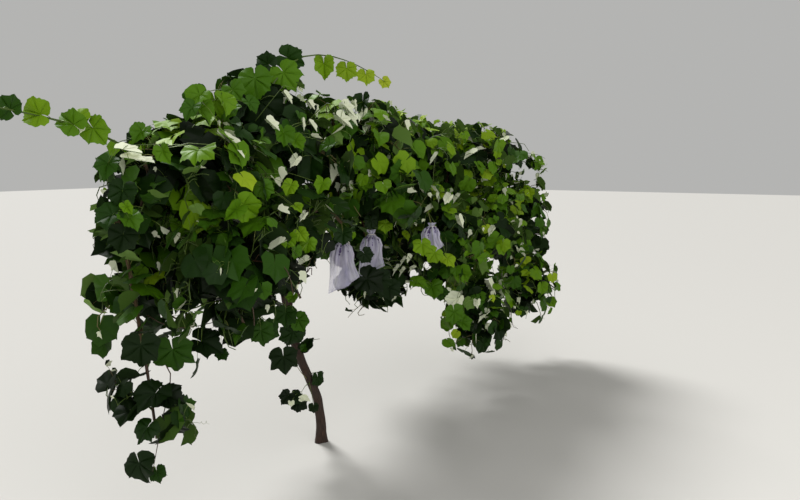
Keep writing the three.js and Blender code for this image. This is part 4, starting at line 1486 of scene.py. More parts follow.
    def has_room(self, leaves: LeafBatch) -> Array:
        """Tells which leaves stay within the crown's edges and the part's sides, off the ground and off the fruit."""
        end = leaves.ends()
        reach = np.abs(np.cross(leaves.tip, leaves.face)) * (leaves.width / 2)[:, None]
        low = np.minimum(leaves.stalk, end) - reach
        high = np.maximum(leaves.stalk, end) + reach
        middle = (leaves.stalk + end) / 2
        spread = EDGE_SPREAD * self.rng.standard_normal(len(end))
        room = self.within_sides(low, high) & (low[:, 2] > self.lowest_leaf)
        room &= under_top(np.column_stack([middle[:, :2], high[:, 2]]), spread)
        lowest = np.column_stack([middle[:, :2], low[:, 2]])
        if self.space.dresses_bough:
            room &= carried(lowest, FOOT_PLANE)[:, 2] > self.space.seen_foot + spread
        else:
            room &= over_foot(lowest, spread)
        return room & ~self.sights.hidden_by(middle, self.sight_margin * leaves.width)

    @staticmethod
    def within_sides(low: Array, high: Array) -> Array:
        """Tells which extents, from low to high, stay within the part's four sides."""
        box_low, box_high = (np.asarray(corner) for corner in CAD_BOX)
        inside = (low > box_low - SIDE_ALLOWANCE) & (high < box_high + SIDE_ALLOWANCE)
        return np.all(inside[:, :2], axis=1)

    def tendril(self, start: Array, outward: Array) -> Array:
        """Curls out from a node: it runs out and then winds in a shrinking spiral.

        Args:
            start: the node that it leaves.
            outward: direction that it leaves in.

        Returns:
            The tendril's line.
        """
        rng = self.rng
        t = np.linspace(0, 1, TENDRIL_RINGS)[:, None]
        run = unit(outward + rng.normal(0, 0.4, 3) - 0.2 * UP)
        side = unit(np.cross(run, rng.normal(0, 1, 3)))
        lift = np.cross(run, side)
        curl = np.clip(t - 0.3, 0, 1)
        radius = 0.011 * curl * (1.35 - t)
        angle = TURN * 2.4 * curl / 0.7
        reach = rng.uniform(0.06, 0.11)
        return start + run * reach * t + 2 * radius * (np.cos(angle) * side + np.sin(angle) * lift)


@dataclass(frozen=True)
class Leaf:
    """A given leaf: where its blade meets its stalk, its width, how its face and tip point, and its tone, mostly
    painted light and shade.
    """

    at: Point
    width: float
    face: Point
    tip: Point
    tone: int = 8
    fold: float = 0.25
    lobing: float = 0.3
    under: int = 1

    def middle(self) -> Array:
        """Point a third of the way down the blade."""
        return np.asarray(self.at) + unit(np.asarray(self.tip, float)) * 0.22 * self.width


@dataclass(frozen=True)
class LongCane:
    """A long cane that stands out of the crown, on a bough of its own."""

    name: str
    root_x: float
    run: tuple[Point, Point, Point, Point]
    leaves: tuple[Leaf, ...]
    foot_handle: float = 0.35
    radii: Pair = (0.0046, 0.0014)

    def bough(self, skeleton: Skeleton) -> Array:
        """Rises from the cordon and bends into the cane's own direction."""
        root = skeleton.root(self.root_x)
        start, handle = np.asarray(self.run[0]), np.asarray(self.run[1])
        rise = self.foot_handle * np.linalg.norm(start - root)
        return bezier([root, root + UP * rise, start - unit(handle - start) * rise, start], BEARER_STEPS)

    def grow(self, growth: Growth) -> None:
        """Draws the cane and hangs its leaves."""
        line = resample(bezier([np.asarray(point) for point in self.run], CANE_STEPS), CANE_STEPS)
        growth.add_shoot(line, *self.radii, 0)
        set_by_hand(growth, line, self.leaves)


@dataclass(frozen=True)
class Spray:
    """A thin shoot given through a few points, with its leaves."""

    points: tuple[Point, ...]
    leaves: tuple[Leaf, ...]
    radius: float = 0.0022
    slot: int = 0
    stray: float = 0.20

    def grow(self, growth: Growth) -> None:
        """Draws the shoot and hangs its leaves, each turned a little aside."""
        line = smooth_line(self.points, CANE_STEPS)
        growth.add_shoot(line, self.radius, 0.5 * self.radius, self.slot)
        set_by_hand(growth, line, self.leaves, self.stray)


def set_by_hand(growth: Growth, line: Array, leaves: Sequence[Leaf], stray: float = 0.0) -> None:
    """Hangs given leaves on a line, each on a stalk from the point that lies about a stalk's length away.

    Args:
        growth: where the leaves are kept.
        line: the cane or sprout.
        leaves: the leaves.
        stray: how far each green leaf turns aside from its given face and tip.
    """
    if not leaves:
        return
    count = len(leaves)
    rng = np.random.default_rng(HAND_SEED + count)
    stalk, width, face, tip, tone, fold, lobing, under = (
        np.array([getattr(leaf, entry.name) for leaf in leaves]) for entry in fields(Leaf)
    )
    away = np.linalg.norm(stalk[:, None] - line[None], axis=2)
    node = line[np.argmin(np.abs(away - 0.5 * width[:, None]), axis=1)]
    aside = np.where(under == GLINT_UNDERSIDE, 0.0, stray)[:, None]
    face = unit(unit(face.astype(float)) + rng.normal(0, 1, (count, 3)) * aside)
    tip = unit(tip.astype(float)) + rng.normal(0, 1, (count, 3)) * aside
    tip = across_face(tip, face)
    stalk_tone = np.zeros(count, int)
    growth.leaves.append(LeafBatch(node, stalk, tip, face, width, tone, under, stalk_tone, lobing, fold))


# Directions that several given leaves share: of their faces, and of their tips as seen from the eye
NEAR = (-0.80, -0.55, 0.22)
NEAR_UP = (-0.60, -0.45, 0.65)
AWAY = (0.75, 0.50, 0.25)
DOWN = (0.05, 0.0, -1.0)
DOWN_RIGHT = (0.30, -0.50, -0.80)
DOWN_LEFT = (-0.35, 0.45, -0.80)
LEFT_UP = (-0.45, 0.75, 0.45)


def turned_leaf(at: Point, width: float, tip: Point, fold: float, lobing: float, face: Point = AWAY) -> Leaf:
    """Sets a given folded leaf with its near-white underside, partly real and partly a painted glint of light."""
    return Leaf(at, width, face, tip, TURNED_TONE, fold, lobing, GLINT_UNDERSIDE)


CANES = (
    LongCane(
        "left", -1.01, ((-1.05, -0.06, 1.39), (-1.2, -0.1, 1.5), (-1.42, -0.14, 1.53), (-1.79, -0.18, 1.56)),
        (
            Leaf((-1.29, -0.13, 1.5), 0.092, NEAR, DOWN_RIGHT, 8, 0.4, 0.1),
            Leaf((-1.365, -0.145, 1.506), 0.088, (-0.7, -0.65, 0.3), (-0.38, 0.65, 0.66), 7, 0.55, 0.1),
            Leaf((-1.325, -0.115, 1.532), 0.07, (-0.4, -0.5, 0.75), LEFT_UP, 9, 0.3, 0.0),
            Leaf((-1.31, -0.1, 1.525), 0.042, NEAR, (0.3, -0.5, 0.8), 2),
            turned_leaf((-1.355, -0.15, 1.504), 0.036, DOWN, 0.6, 0.0),
            Leaf((-1.465, -0.14, 1.532), 0.088, NEAR, (-0.47, 0.8, 0.3), 9, 0.6, 0.1),
            Leaf((-1.55, -0.14, 1.54), 0.075, NEAR, (-0.31, 0.53, 0.79), 4, 0.3, 0.1),
            Leaf((-1.64, -0.17, 1.54), 0.088, NEAR_UP, DOWN_LEFT, 8),
            Leaf((-1.7, -0.16, 1.575), 0.07, NEAR_UP, (-0.5, 0.5, 0.5), 9),
            Leaf((-1.78, -0.18, 1.555), 0.052, NEAR_UP, (-0.8, 0.2, -0.3), 11),
        ),
    ),
    LongCane(
        "top", -0.5, ((-0.455, -0.09, 1.61), (-0.4, -0.13, 1.96), (0.2, -0.05, 1.915), (0.64, -0.02, 1.812)),
        (
            Leaf((-0.56, -0.13, 1.722), 0.13, NEAR, DOWN, 6, 0.2, 0.15),
            Leaf((-0.4, -0.06, 1.8), 0.085, (-0.75, -0.6, 0.1), (-0.4, 0.6, 0.5), 2, 0.5, 0.0),
            Leaf((-0.368, -0.115, 1.765), 0.128, NEAR, (0.3, -0.47, -0.8), 7, 0.2, 0.4),
            Leaf((-0.275, -0.06, 1.842), 0.118, (-0.8, -0.6, 0.05), (0.45, -0.7, -0.3), 3, 0.35, 0.1),
            Leaf((-0.04, -0.08, 1.842), 0.106, (-0.75, -0.6, 0.3), DOWN, 9, 0.75, 0.1),
            Leaf((0.17, -0.06, 1.846), 0.094, NEAR, DOWN, 10, 0.2, 0.0),
            Leaf((0.37, -0.04, 1.838), 0.088, (-0.65, -0.55, 0.5), DOWN, 11, 0.3, 0.0),
            Leaf((0.58, -0.02, 1.826), 0.066, (-0.7, -0.6, 0.3), DOWN_RIGHT, 12, 0.3, 0.1),
        ),
    ),
)
# Leaf tones in these sprays are painted light and shade, bright for sunlit leaves and dark for shaded ones; pale
# turned leaves are partly real undersides and partly painted glints
SPRAYS = (
    # under the top cane: one large dark leaf and two folded pale ones
    Spray(((-0.52, -0.09, 1.56), (-0.5, -0.16, 1.64), (-0.46, -0.19, 1.7)), (
        Leaf((-0.485, -0.085, 1.642), 0.172, NEAR, DOWN, 1, 0.05, 0.1),
        turned_leaf((-0.455, -0.2, 1.662), 0.06, DOWN_RIGHT, 2.4, 0.9),
        turned_leaf((-0.3, -0.2, 1.64), 0.046, DOWN_RIGHT, 1.2, 1.2),
    )),
    # pale turned leaves on the crown's shoulder
    Spray(((0.06, -0.06, 1.5), (-0.06, -0.2, 1.6), (-0.12, -0.25, 1.66)), (
        turned_leaf((-0.115, -0.25, 1.64), 0.092, (0.35, -0.6, -0.7), 1.3, 1.6),
        turned_leaf((-0.04, -0.25, 1.655), 0.05, (0.1, -0.2, -0.9), 1.6, 0.8, (0.6, 0.7, 0.4)),
        turned_leaf((-0.15, -0.25, 1.585), 0.1, (0.38, -0.62, -0.62), 1.4, 1.6),
        turned_leaf((-0.075, -0.25, 1.59), 0.07, (0.36, -0.6, -0.6), 1.6, 1.5, (0.9, 0.3, 0.3)),
        turned_leaf((0.035, -0.25, 1.625), 0.086, (-0.3, 0.45, -0.8), 1.8, 1.5, (0.6, 0.7, 0.0)),
        turned_leaf((0.08, -0.24, 1.56), 0.062, (-0.2, 0.4, -0.85), 1.8, 0.8),
        Leaf((0.055, -0.23, 1.672), 0.11, (-0.85, -0.45, 0.1), (0.15, -0.25, -0.9), 2, 1.1, 0.2),
    )),
    # left foot of the row: a thin hanging cane and a level one
    Spray(((-1.09, -0.056, 0.765), (-1.03, -0.12, 0.66), (-1.1, -0.15, 0.5), (-1.15, -0.15, 0.33)), (
        Leaf((-1.03, -0.14, 0.742), 0.142, (-0.75, -0.6, 0.25), (0.1, -0.05, -1), 4, 0.15, 0.9),
        Leaf((-1.17, -0.15, 0.79), 0.12, (-0.7, -0.6, 0.3), DOWN, 1),
        Leaf((-1.12, -0.15, 0.61), 0.126, (-0.3, -0.2, 0.93), (-0.7, 0.3, -0.3), 1),
        Leaf((-1.075, -0.15, 0.585), 0.098, (-0.45, -0.35, 0.8), (0.6, -0.5, -0.6), 0),
        Leaf((-1.16, -0.15, 0.5), 0.085, (-0.75, -0.45, 0.4), DOWN_LEFT, 2),
        Leaf((-1.2, -0.15, 0.39), 0.11, (-0.7, -0.5, 0.45), (0.4, -0.3, -0.8), 1),
        Leaf((-1.13, -0.15, 0.33), 0.06, NEAR, DOWN_RIGHT, 3),
    ), 0.0026, 2),
    Spray(((-1.06, -0.05, 0.86), (-1.03, -0.14, 0.82), (-0.8, -0.15, 0.8), (-0.6, -0.15, 0.8)), (
        Leaf((-0.905, -0.15, 0.742), 0.122, (-0.4, -0.3, 0.85), (0.6, -0.7, -0.35), 1),
        Leaf((-0.81, -0.15, 0.672), 0.05, NEAR_UP, DOWN_RIGHT, 3),
        Leaf((-0.93, -0.15, 0.66), 0.075, (0.5, -0.86, 0.0), DOWN, 2),
        Leaf((-0.585, -0.15, 0.716), 0.1, (-0.8, -0.55, 0.2), DOWN, 4, 0.25, 0.6),
        Leaf((-0.49, -0.09, 0.7), 0.112, NEAR, DOWN, 3, 0.1, 0.5),
    ), 0.002, 2),
    # thin pale cane against the trunk, with its two large leaves
    Spray(((-0.11, -0.012, 0.35), (-0.21, -0.042, 0.43), (-0.24, -0.044, 0.47), (-0.28, -0.045, 0.56),
           (-0.3, -0.045, 0.63)), (
        Leaf((-0.35, -0.065, 0.535), 0.13, (-0.85, -0.5, 0.1), (0.05, 0, -1), 1, 0.1, 0.75),
        Leaf((-0.29, -0.07, 0.635), 0.11, (-0.8, -0.55, 0.2), DOWN, 2, 0.35, 0.1),
    ), 0.002, 1),
    # bright leaves on the near shoulder of the row: one wide level leaf, its neighbours and pale slivers
    Spray(((-1.06, -0.05, 1.38), (-1.09, -0.22, 1.44), (-1.2, -0.3, 1.45), (-1.3, -0.28, 1.445)), (
        Leaf((-1.065, -0.34, 1.432), 0.112, (-0.42, -0.32, 0.84), (-0.66, -0.5, -0.5), 8, 0.15, 0.2),
        Leaf((-1.19, -0.32, 1.43), 0.062, NEAR, DOWN_RIGHT, 7, 0.8),
        Leaf((-1.215, -0.26, 1.49), 0.07, NEAR_UP, DOWN_LEFT, 6, 0.7),
        turned_leaf((-1.318, -0.3, 1.434), 0.082, (0.5, -0.85, -0.2), 4.5, 0.5),
        turned_leaf((-1.308, -0.31, 1.408), 0.076, (0.5, -0.85, -0.1), 4.5, 0.5),
        turned_leaf((-1.262, -0.31, 1.4), 0.064, (0.5, -0.85, -0.05), 5.0, 0.5),
        Leaf((-1.312, -0.22, 1.392), 0.08, (-0.4, -0.8, 0.4), DOWN, 4, 0.6),
        Leaf((-0.96, -0.34, 1.415), 0.08, (0.35, -0.85, 0.2), DOWN, 1, 0.4, 0.2),
        Leaf((-0.925, -0.35, 1.428), 0.088, (-0.3, -0.9, 0.25), DOWN, 9, 0.7, 0.2),
    )),
    Spray(((-0.86, -0.05, 1.48), (-0.9, -0.18, 1.58), (-0.96, -0.25, 1.6)), (
        Leaf((-0.965, -0.25, 1.62), 0.09, NEAR_UP, DOWN_LEFT, 7, 0.6),
        Leaf((-0.86, -0.25, 1.61), 0.088, (-0.2, -0.85, 0.45), DOWN, 8, 0.6),
        Leaf((-1.01, -0.26, 1.575), 0.074, NEAR_UP, DOWN_LEFT, 5, 0.6),
        Leaf((-0.74, -0.26, 1.61), 0.07, (-0.3, -0.7, 0.6), DOWN_RIGHT, 5, 0.6, 0.4),
        turned_leaf((-0.93, -0.33, 1.47), 0.12, (0.42, -0.7, -0.62), 6.0, 0.6),
    )),
    # bright leaves between the near shoulder and the top cane
    Spray(((-0.76, -0.06, 1.48), (-0.8, -0.15, 1.56), (-0.86, -0.2, 1.6), (-0.93, -0.2, 1.61)), (
        Leaf((-0.934, -0.2, 1.622), 0.086, NEAR, DOWN_RIGHT, 5, 0.4),
        Leaf((-0.938, -0.22, 1.575), 0.092, (-0.3, -0.85, 0.4), DOWN_RIGHT, 7, 0.9),
        Leaf((-0.866, -0.22, 1.612), 0.088, NEAR, DOWN, 8, 0.3, 0.4),
        Leaf((-0.789, -0.22, 1.592), 0.082, NEAR_UP, DOWN_LEFT, 6, 0.5),
        Leaf((-0.714, -0.16, 1.664), 0.088, NEAR_UP, DOWN_RIGHT, 6, 0.4),
    ), 0.0018),
    # leaves that catch the light before the dark middle of the row
    Spray(((-0.8, -0.15, 1.3), (-0.88, -0.32, 1.33), (-0.96, -0.39, 1.29)), (
        Leaf((-0.93, -0.4, 1.255), 0.102, (-0.55, -0.8, 0.25), (0.3, -0.5, -0.8), 8, 0.55, 0.1),
        Leaf((-0.965, -0.4, 1.24), 0.08, (-0.2, -0.8, 0.5), (-0.42, 0.66, -0.62), 7, 1.4, 0.1),
        Leaf((-0.82, -0.39, 1.31), 0.072, NEAR, DOWN, 6),
        Leaf((-0.655, -0.38, 1.31), 0.064, NEAR, DOWN_LEFT, 9, 0.5),
        Leaf((-0.64, -0.39, 1.23), 0.05, NEAR_UP, DOWN_RIGHT, 9, 0.6),
        turned_leaf((-0.58, -0.38, 1.195), 0.044, DOWN_LEFT, 1.6, 0.5),
        Leaf((-0.41, -0.34, 1.31), 0.078, (-0.4, -0.85, 0.3), DOWN, 8, 0.6),
    ), 0.002),
    Spray(((-0.56, -0.2, 1.25), (-0.62, -0.38, 1.18), (-0.7, -0.41, 1.09), (-0.64, -0.4, 1.04)), (
        turned_leaf((-0.78, -0.42, 1.104), 0.086, (-0.46, 0.72, -0.5), 3.4, 0.5),
        turned_leaf((-0.605, -0.4, 1.022), 0.06, (-0.46, 0.72, -0.5), 2.2, 0.5),
        Leaf((-0.7, -0.4, 1.12), 0.064, NEAR, DOWN_LEFT, 8, 0.4),
        Leaf((-0.62, -0.39, 1.13), 0.06, NEAR, DOWN_RIGHT, 9, 0.4),
        Leaf((-0.57, -0.39, 1.09), 0.066, NEAR, DOWN, 8, 0.4),
        Leaf((-0.66, -0.4, 1.07), 0.056, (-0.5, -0.8, 0.2), DOWN, 6, 0.5),
    ), 0.0018),
    Spray(((-0.56, -0.12, 1.4), (-0.6, -0.28, 1.49), (-0.7, -0.33, 1.53)), (
        turned_leaf((-0.705, -0.33, 1.54), 0.066, (0.4, -0.6, -0.65), 1.8, 0.8),
        Leaf((-0.62, -0.32, 1.505), 0.08, (-0.3, -0.8, 0.4), DOWN, 6, 0.6),
        Leaf((-0.565, -0.33, 1.475), 0.07, (-0.5, -0.6, 0.6), DOWN_RIGHT, 7, 0.7),
        turned_leaf((-0.465, -0.29, 1.552), 0.05, (0.05, -0.1, -0.98), 3.6, 0.8),
        turned_leaf((-0.395, -0.28, 1.548), 0.058, (0.3, -0.5, -0.8), 3.0, 0.6),
        turned_leaf((-0.6, -0.36, 1.405), 0.056, DOWN_LEFT, 1.2, 0.5),
        Leaf((-0.3, -0.3, 1.465), 0.08, NEAR_UP, DOWN_LEFT, 5, 0.7),
    ), 0.002),
    # leaves over the bare foot of the near bough
    Spray(((-1.09, -0.02, 1.19), (-1.18, -0.14, 1.24), (-1.26, -0.21, 1.25)), (
        Leaf((-1.25, -0.2, 1.31), 0.092, (-0.5, -0.8, 0.2), DOWN, 2, 0.5),
        Leaf((-1.285, -0.19, 1.235), 0.092, NEAR_UP, DOWN_LEFT, 3, 0.6),
        Leaf((-1.255, -0.23, 1.225), 0.076, (-0.3, -0.6, 0.7), DOWN_RIGHT, 6, 0.5),
        Leaf((-1.24, -0.18, 1.17), 0.092, (-0.6, -0.7, 0.2), DOWN_LEFT, 1, 0.5),
        Leaf((-1.27, -0.24, 1.262), 0.046, NEAR_UP, DOWN_RIGHT, 8, 0.9),
    ), 0.0018),
    # pale turned leaves along the near face of the long limb
    Spray(((0.42, -0.3, 1.3), (0.56, -0.4, 1.24), (0.7, -0.43, 1.2)), (
        turned_leaf((0.556, -0.43, 1.212), 0.06, DOWN_LEFT, 0.9, 0.2),
        turned_leaf((0.66, -0.43, 1.208), 0.064, DOWN_LEFT, 3.2, 0.3),
        turned_leaf((0.35, -0.44, 1.17), 0.072, (-0.46, 0.72, -0.45), 3.4, 0.3),
        turned_leaf((0.59, -0.33, 1.42), 0.076, DOWN_LEFT, 4.0, 0.4),
    ), 0.0016),
    Spray(((1.08, -0.1, 1.38), (1.16, -0.22, 1.43), (1.28, -0.26, 1.46)), (
        turned_leaf((1.22, -0.26, 1.446), 0.1, (-0.46, 0.72, -0.42), 2.6, 0.4),
        turned_leaf((1.29, -0.26, 1.466), 0.076, (0.46, -0.72, 0.3), 3.4, 0.4),
        turned_leaf((1.9, -0.2, 1.545), 0.09, (-0.46, 0.72, -0.5), 2.6, 0.4),
    ), 0.0016),
    Spray(((0.56, -0.33, 0.96), (0.62, -0.45, 0.86), (0.6, -0.48, 0.72), (0.64, -0.49, 0.64)), (
        turned_leaf((0.625, -0.46, 1.095), 0.07, (0.2, -0.3, -0.95), 1.6, 0.3),
        turned_leaf((0.56, -0.48, 0.682), 0.118, (-0.4, 0.6, -0.6), 0.7, 0.4, (0.55, 0.7, -0.35)),
        Leaf((0.48, -0.5, 0.63), 0.112, (-0.6, -0.75, 0.3), DOWN, 6, 0.4, 0.4),
        Leaf((0.58, -0.5, 0.555), 0.09, NEAR_UP, DOWN_RIGHT, 6, 0.6),
        turned_leaf((0.8, -0.49, 0.62), 0.052, DOWN, 1.0, 0.3),
    ), 0.0018),
    Spray(((1.06, -0.38, 0.9), (1.08, -0.46, 0.78), (1.000, -0.48, 0.68), (0.92, -0.5, 0.56)), (
        turned_leaf((1.075, -0.46, 1.000), 0.066, DOWN_LEFT, 2.0, 0.3),
        turned_leaf((1.000, -0.48, 0.69), 0.088, (0.2, -0.4, -0.85), 1.6, 0.5),
        turned_leaf((0.905, -0.5, 0.53), 0.092, (-0.4, 0.66, -0.66), 2.4, 0.5),
        turned_leaf((0.93, -0.5, 0.46), 0.05, DOWN, 1.4, 0.5),
    ), 0.0018),
    # wide bright leaves that hang lowest in the middle of the row
    Spray(((0.42, -0.2, 0.96), (0.44, -0.3, 0.86), (0.47, -0.34, 0.77)), (
        Leaf((0.39, -0.33, 0.782), 0.1, (-0.3, -0.4, 0.85), DOWN_RIGHT, 7, 0.4),
        Leaf((0.54, -0.34, 0.735), 0.112, NEAR_UP, DOWN, 6, 0.5),
        Leaf((0.64, -0.34, 0.69), 0.09, NEAR, DOWN_RIGHT, 4, 0.5),
    ), 0.0018),
    # sunlit flecks among the dark leaves under the bags
    Spray(((0.12, -0.1, 0.9), (0.1, -0.22, 0.84), (0.06, -0.25, 0.8)), (
        turned_leaf((0.03, -0.29, 0.805), 0.04, DOWN_RIGHT, 0.9, 0.8),
        turned_leaf((0.25, -0.3, 0.87), 0.064, DOWN_LEFT, 3.4, 1.4),
        turned_leaf((0.31, -0.3, 0.85), 0.056, DOWN_LEFT, 3.0, 1.4),
        turned_leaf((0.3, -0.31, 0.905), 0.06, DOWN_LEFT, 4.0, 1.4),
        turned_leaf((0.38, -0.32, 0.855), 0.05, (-0.45, 0.7, -0.45), 3.0, 1.2),
        Leaf((0.01, -0.275, 0.85), 0.14, NEAR, (0.28, -0.4, -0.85), 0, 0.15, 0.5),
        Leaf((0.125, -0.265, 0.83), 0.12, NEAR, (0.1, -0.2, -0.95), 1, 0.25, 0.4),
        Leaf((0.24, -0.255, 0.775), 0.112, NEAR, DOWN, 1, 0.25, 0.4),
    ), 0.0016),
    # green stalk and leaves beside the head of the trunk
    Spray(((-0.3, -0.04, 0.86), (-0.36, -0.09, 0.8), (-0.365, -0.1, 0.74)), (
        Leaf((-0.368, -0.1, 0.742), 0.1, NEAR, DOWN, 3, 0.4),
        Leaf((-0.275, -0.09, 0.69), 0.09, NEAR, DOWN_RIGHT, 5, 0.5, 0.2),
        Leaf((-0.33, -0.11, 0.812), 0.06, NEAR, DOWN_LEFT, 7, 0.8, 0.2),
    ), 0.0022),
)


@dataclass(frozen=True)
class TrunkSprout:
    """A leafy sprout that grows straight from the trunk."""

    name: str
    height: float
    side: Point
    length: float
    leaves: tuple[Leaf, ...]
    droop: float = 0.15
    radii: Pair = (0.0026, 0.0011)
    steps: int = 30

    def grow(self, growth: Growth, trunk: Array) -> None:
        """Draws the sprout's stem from inside the trunk's skin and hangs its leaves."""
        root = trunk[np.argmin(np.abs(trunk[:, 2] - self.height))]
        side = unit(np.asarray(self.side, float))
        middle = root + side * (TRUNK_RADIUS + 0.5 * self.length)
        end = root + side * (TRUNK_RADIUS + self.length) - UP * self.droop * self.length
        line = smooth_line([root, middle, end], self.steps)
        growth.add_shoot(line, *self.radii, 0)
        set_by_hand(growth, line, self.leaves)


SPROUTS = (
    TrunkSprout("upper", 0.530, (0.45, -0.75, 0.45), 0.100, (
        Leaf((-0.205, -0.07, 0.55), 0.084, (-0.75, -0.6, 0.15), (0.42, -0.62, 0.66), 1, 1.5, 0.1),
        Leaf((-0.215, -0.08, 0.545), 0.05, (-0.35, -0.6, 0.7), DOWN_LEFT, 4, 0.9, 0.0),
    )),
    TrunkSprout("middle", 0.380, (0.75, -0.55, 0.10), 0.060, (
        Leaf((-0.085, -0.05, 0.365), 0.074, (-0.3, -0.9, 0.2), DOWN, 2, 0.3),
        Leaf((-0.12, -0.05, 0.228), 0.052, NEAR, DOWN, 1),
    )),
    TrunkSprout("lower", 0.330, (-0.90, -0.30, 0.10), 0.110, (
        Leaf((-0.32, -0.06, 0.343), 0.07, (-0.6, -0.6, 0.5), DOWN_LEFT, 0),
        Leaf((-0.275, -0.06, 0.328), 0.07, (-0.7, -0.5, 0.5), DOWN_RIGHT, 1),
        Leaf((-0.255, -0.065, 0.293), 0.076, (-0.75, -0.5, 0.35), (0.4, -0.6, -0.6), 0),
        turned_leaf((-0.275, -0.11, 0.322), 0.052, (0.5, -0.8, -0.1), 0.5, 0.0, (0.6, 0.45, 0.55)),
        turned_leaf((-0.345, -0.1, 0.325), 0.032, DOWN, 0.6, 0.0, (0.7, 0.5, 0.4)),
    )),
)


@dataclass
class Foliage:
    """Makes the pieces of all that is green: each region's leaves, shoots and stalks, joined by kind."""

    stalk_radius: float = 0.0013
    stalk_rings: int = 4
    stalk_lift: float = 0.12
    stalk_sides: int = 3
    tendril_radii: Pair = (0.0008, 0.0004)
    usual_width: float = 0.12
    nodes_on_shoot: int = 4
    node_swell: float = 0.14
    crease_angle: float = 1.0

    def __post_init__(self) -> None:
        """Mixes the plain colours that are dealt out by spray."""
        self.leaf_materials = [
            *plain_materials("leaf_tone", BLADE_COLOURS, (0.50, 0.58), gloss=0.14),
            *plain_materials("leaf_vein", VEIN_COLOURS, (0.60,), gloss=0.20),
            *plain_materials("leaf_underside", UNDERSIDE_COLOURS, (0.75,), gloss=0.15),
        ]
        self.cane_materials = plain_materials("green_cane", CANE_COLOURS, (0.55,))
        self.stalk_materials = plain_materials("leaf_stalk", PETIOLE_COLOURS, (0.50,))
        self.plain = LeafBlade(PLAIN_LEAF)
        self.fine = LeafBlade(FINE_LEAF)

    def finish(self, name: str, growth: Growth, nodes: Sequence[str], blade: LeafBlade, seed: int) -> None:
        """Makes the pieces of one region: leaves, shoots, leaf stalks and tendrils.

        Args:
            name: name of the region.
            growth: what has grown there.
            nodes: the nodes that its leaves stand for.
            blade: how finely the leaves are drawn.
            seed: seed of the leaves' shapes.
        """
        rng = np.random.default_rng(seed)
        leaves = LeafBatch.joined(growth.leaves)
        LOG.info("%s: %d leaves on %d shoots", name, len(leaves), len(growth.shoots))
        shell = blade.shell(leaves, rng)
        place(shell.piece(f"leaves_{name}", self.leaf_materials, self.crease_angle), nodes)
        radii = np.array(growth.shoot_radii)
        along = np.linspace(0, 1, CANE_RINGS)[None]
        swell = 1 + self.node_swell * np.cos(along * TURN * self.nodes_on_shoot)
        radii = lerp(radii[:, :1], radii[:, 1:], along) * swell
        shoots = tubes(np.array(growth.shoots), radii, CANE_SIDES, np.array(growth.shoot_slots))
        place(shoots.piece(f"canes_{name}", self.cane_materials))
        t = np.linspace(0, 1, self.stalk_rings)[None, :, None]
        lift = (self.stalk_lift * np.linalg.norm(leaves.stalk - leaves.node, axis=1))[:, None, None] * UP
        lines = lerp(leaves.node[:, None], leaves.stalk[:, None], t) + lift * np.sin(np.pi * t)
        radii = np.full((len(leaves), self.stalk_rings), self.stalk_radius)
        radii = radii * (leaves.width[:, None] / self.usual_width) ** 0.5
        stalks = [tubes(lines, radii, self.stalk_sides, leaves.stalk_tone)]
        if growth.tendrils:
            radii = np.tile(np.linspace(*self.tendril_radii, TENDRIL_RINGS), (len(growth.tendrils), 1))
            stalks.append(tubes(np.array(growth.tendrils), radii, self.stalk_sides, 0))
        place(Shell.joined(stalks).piece(f"stalks_{name}", self.stalk_materials))


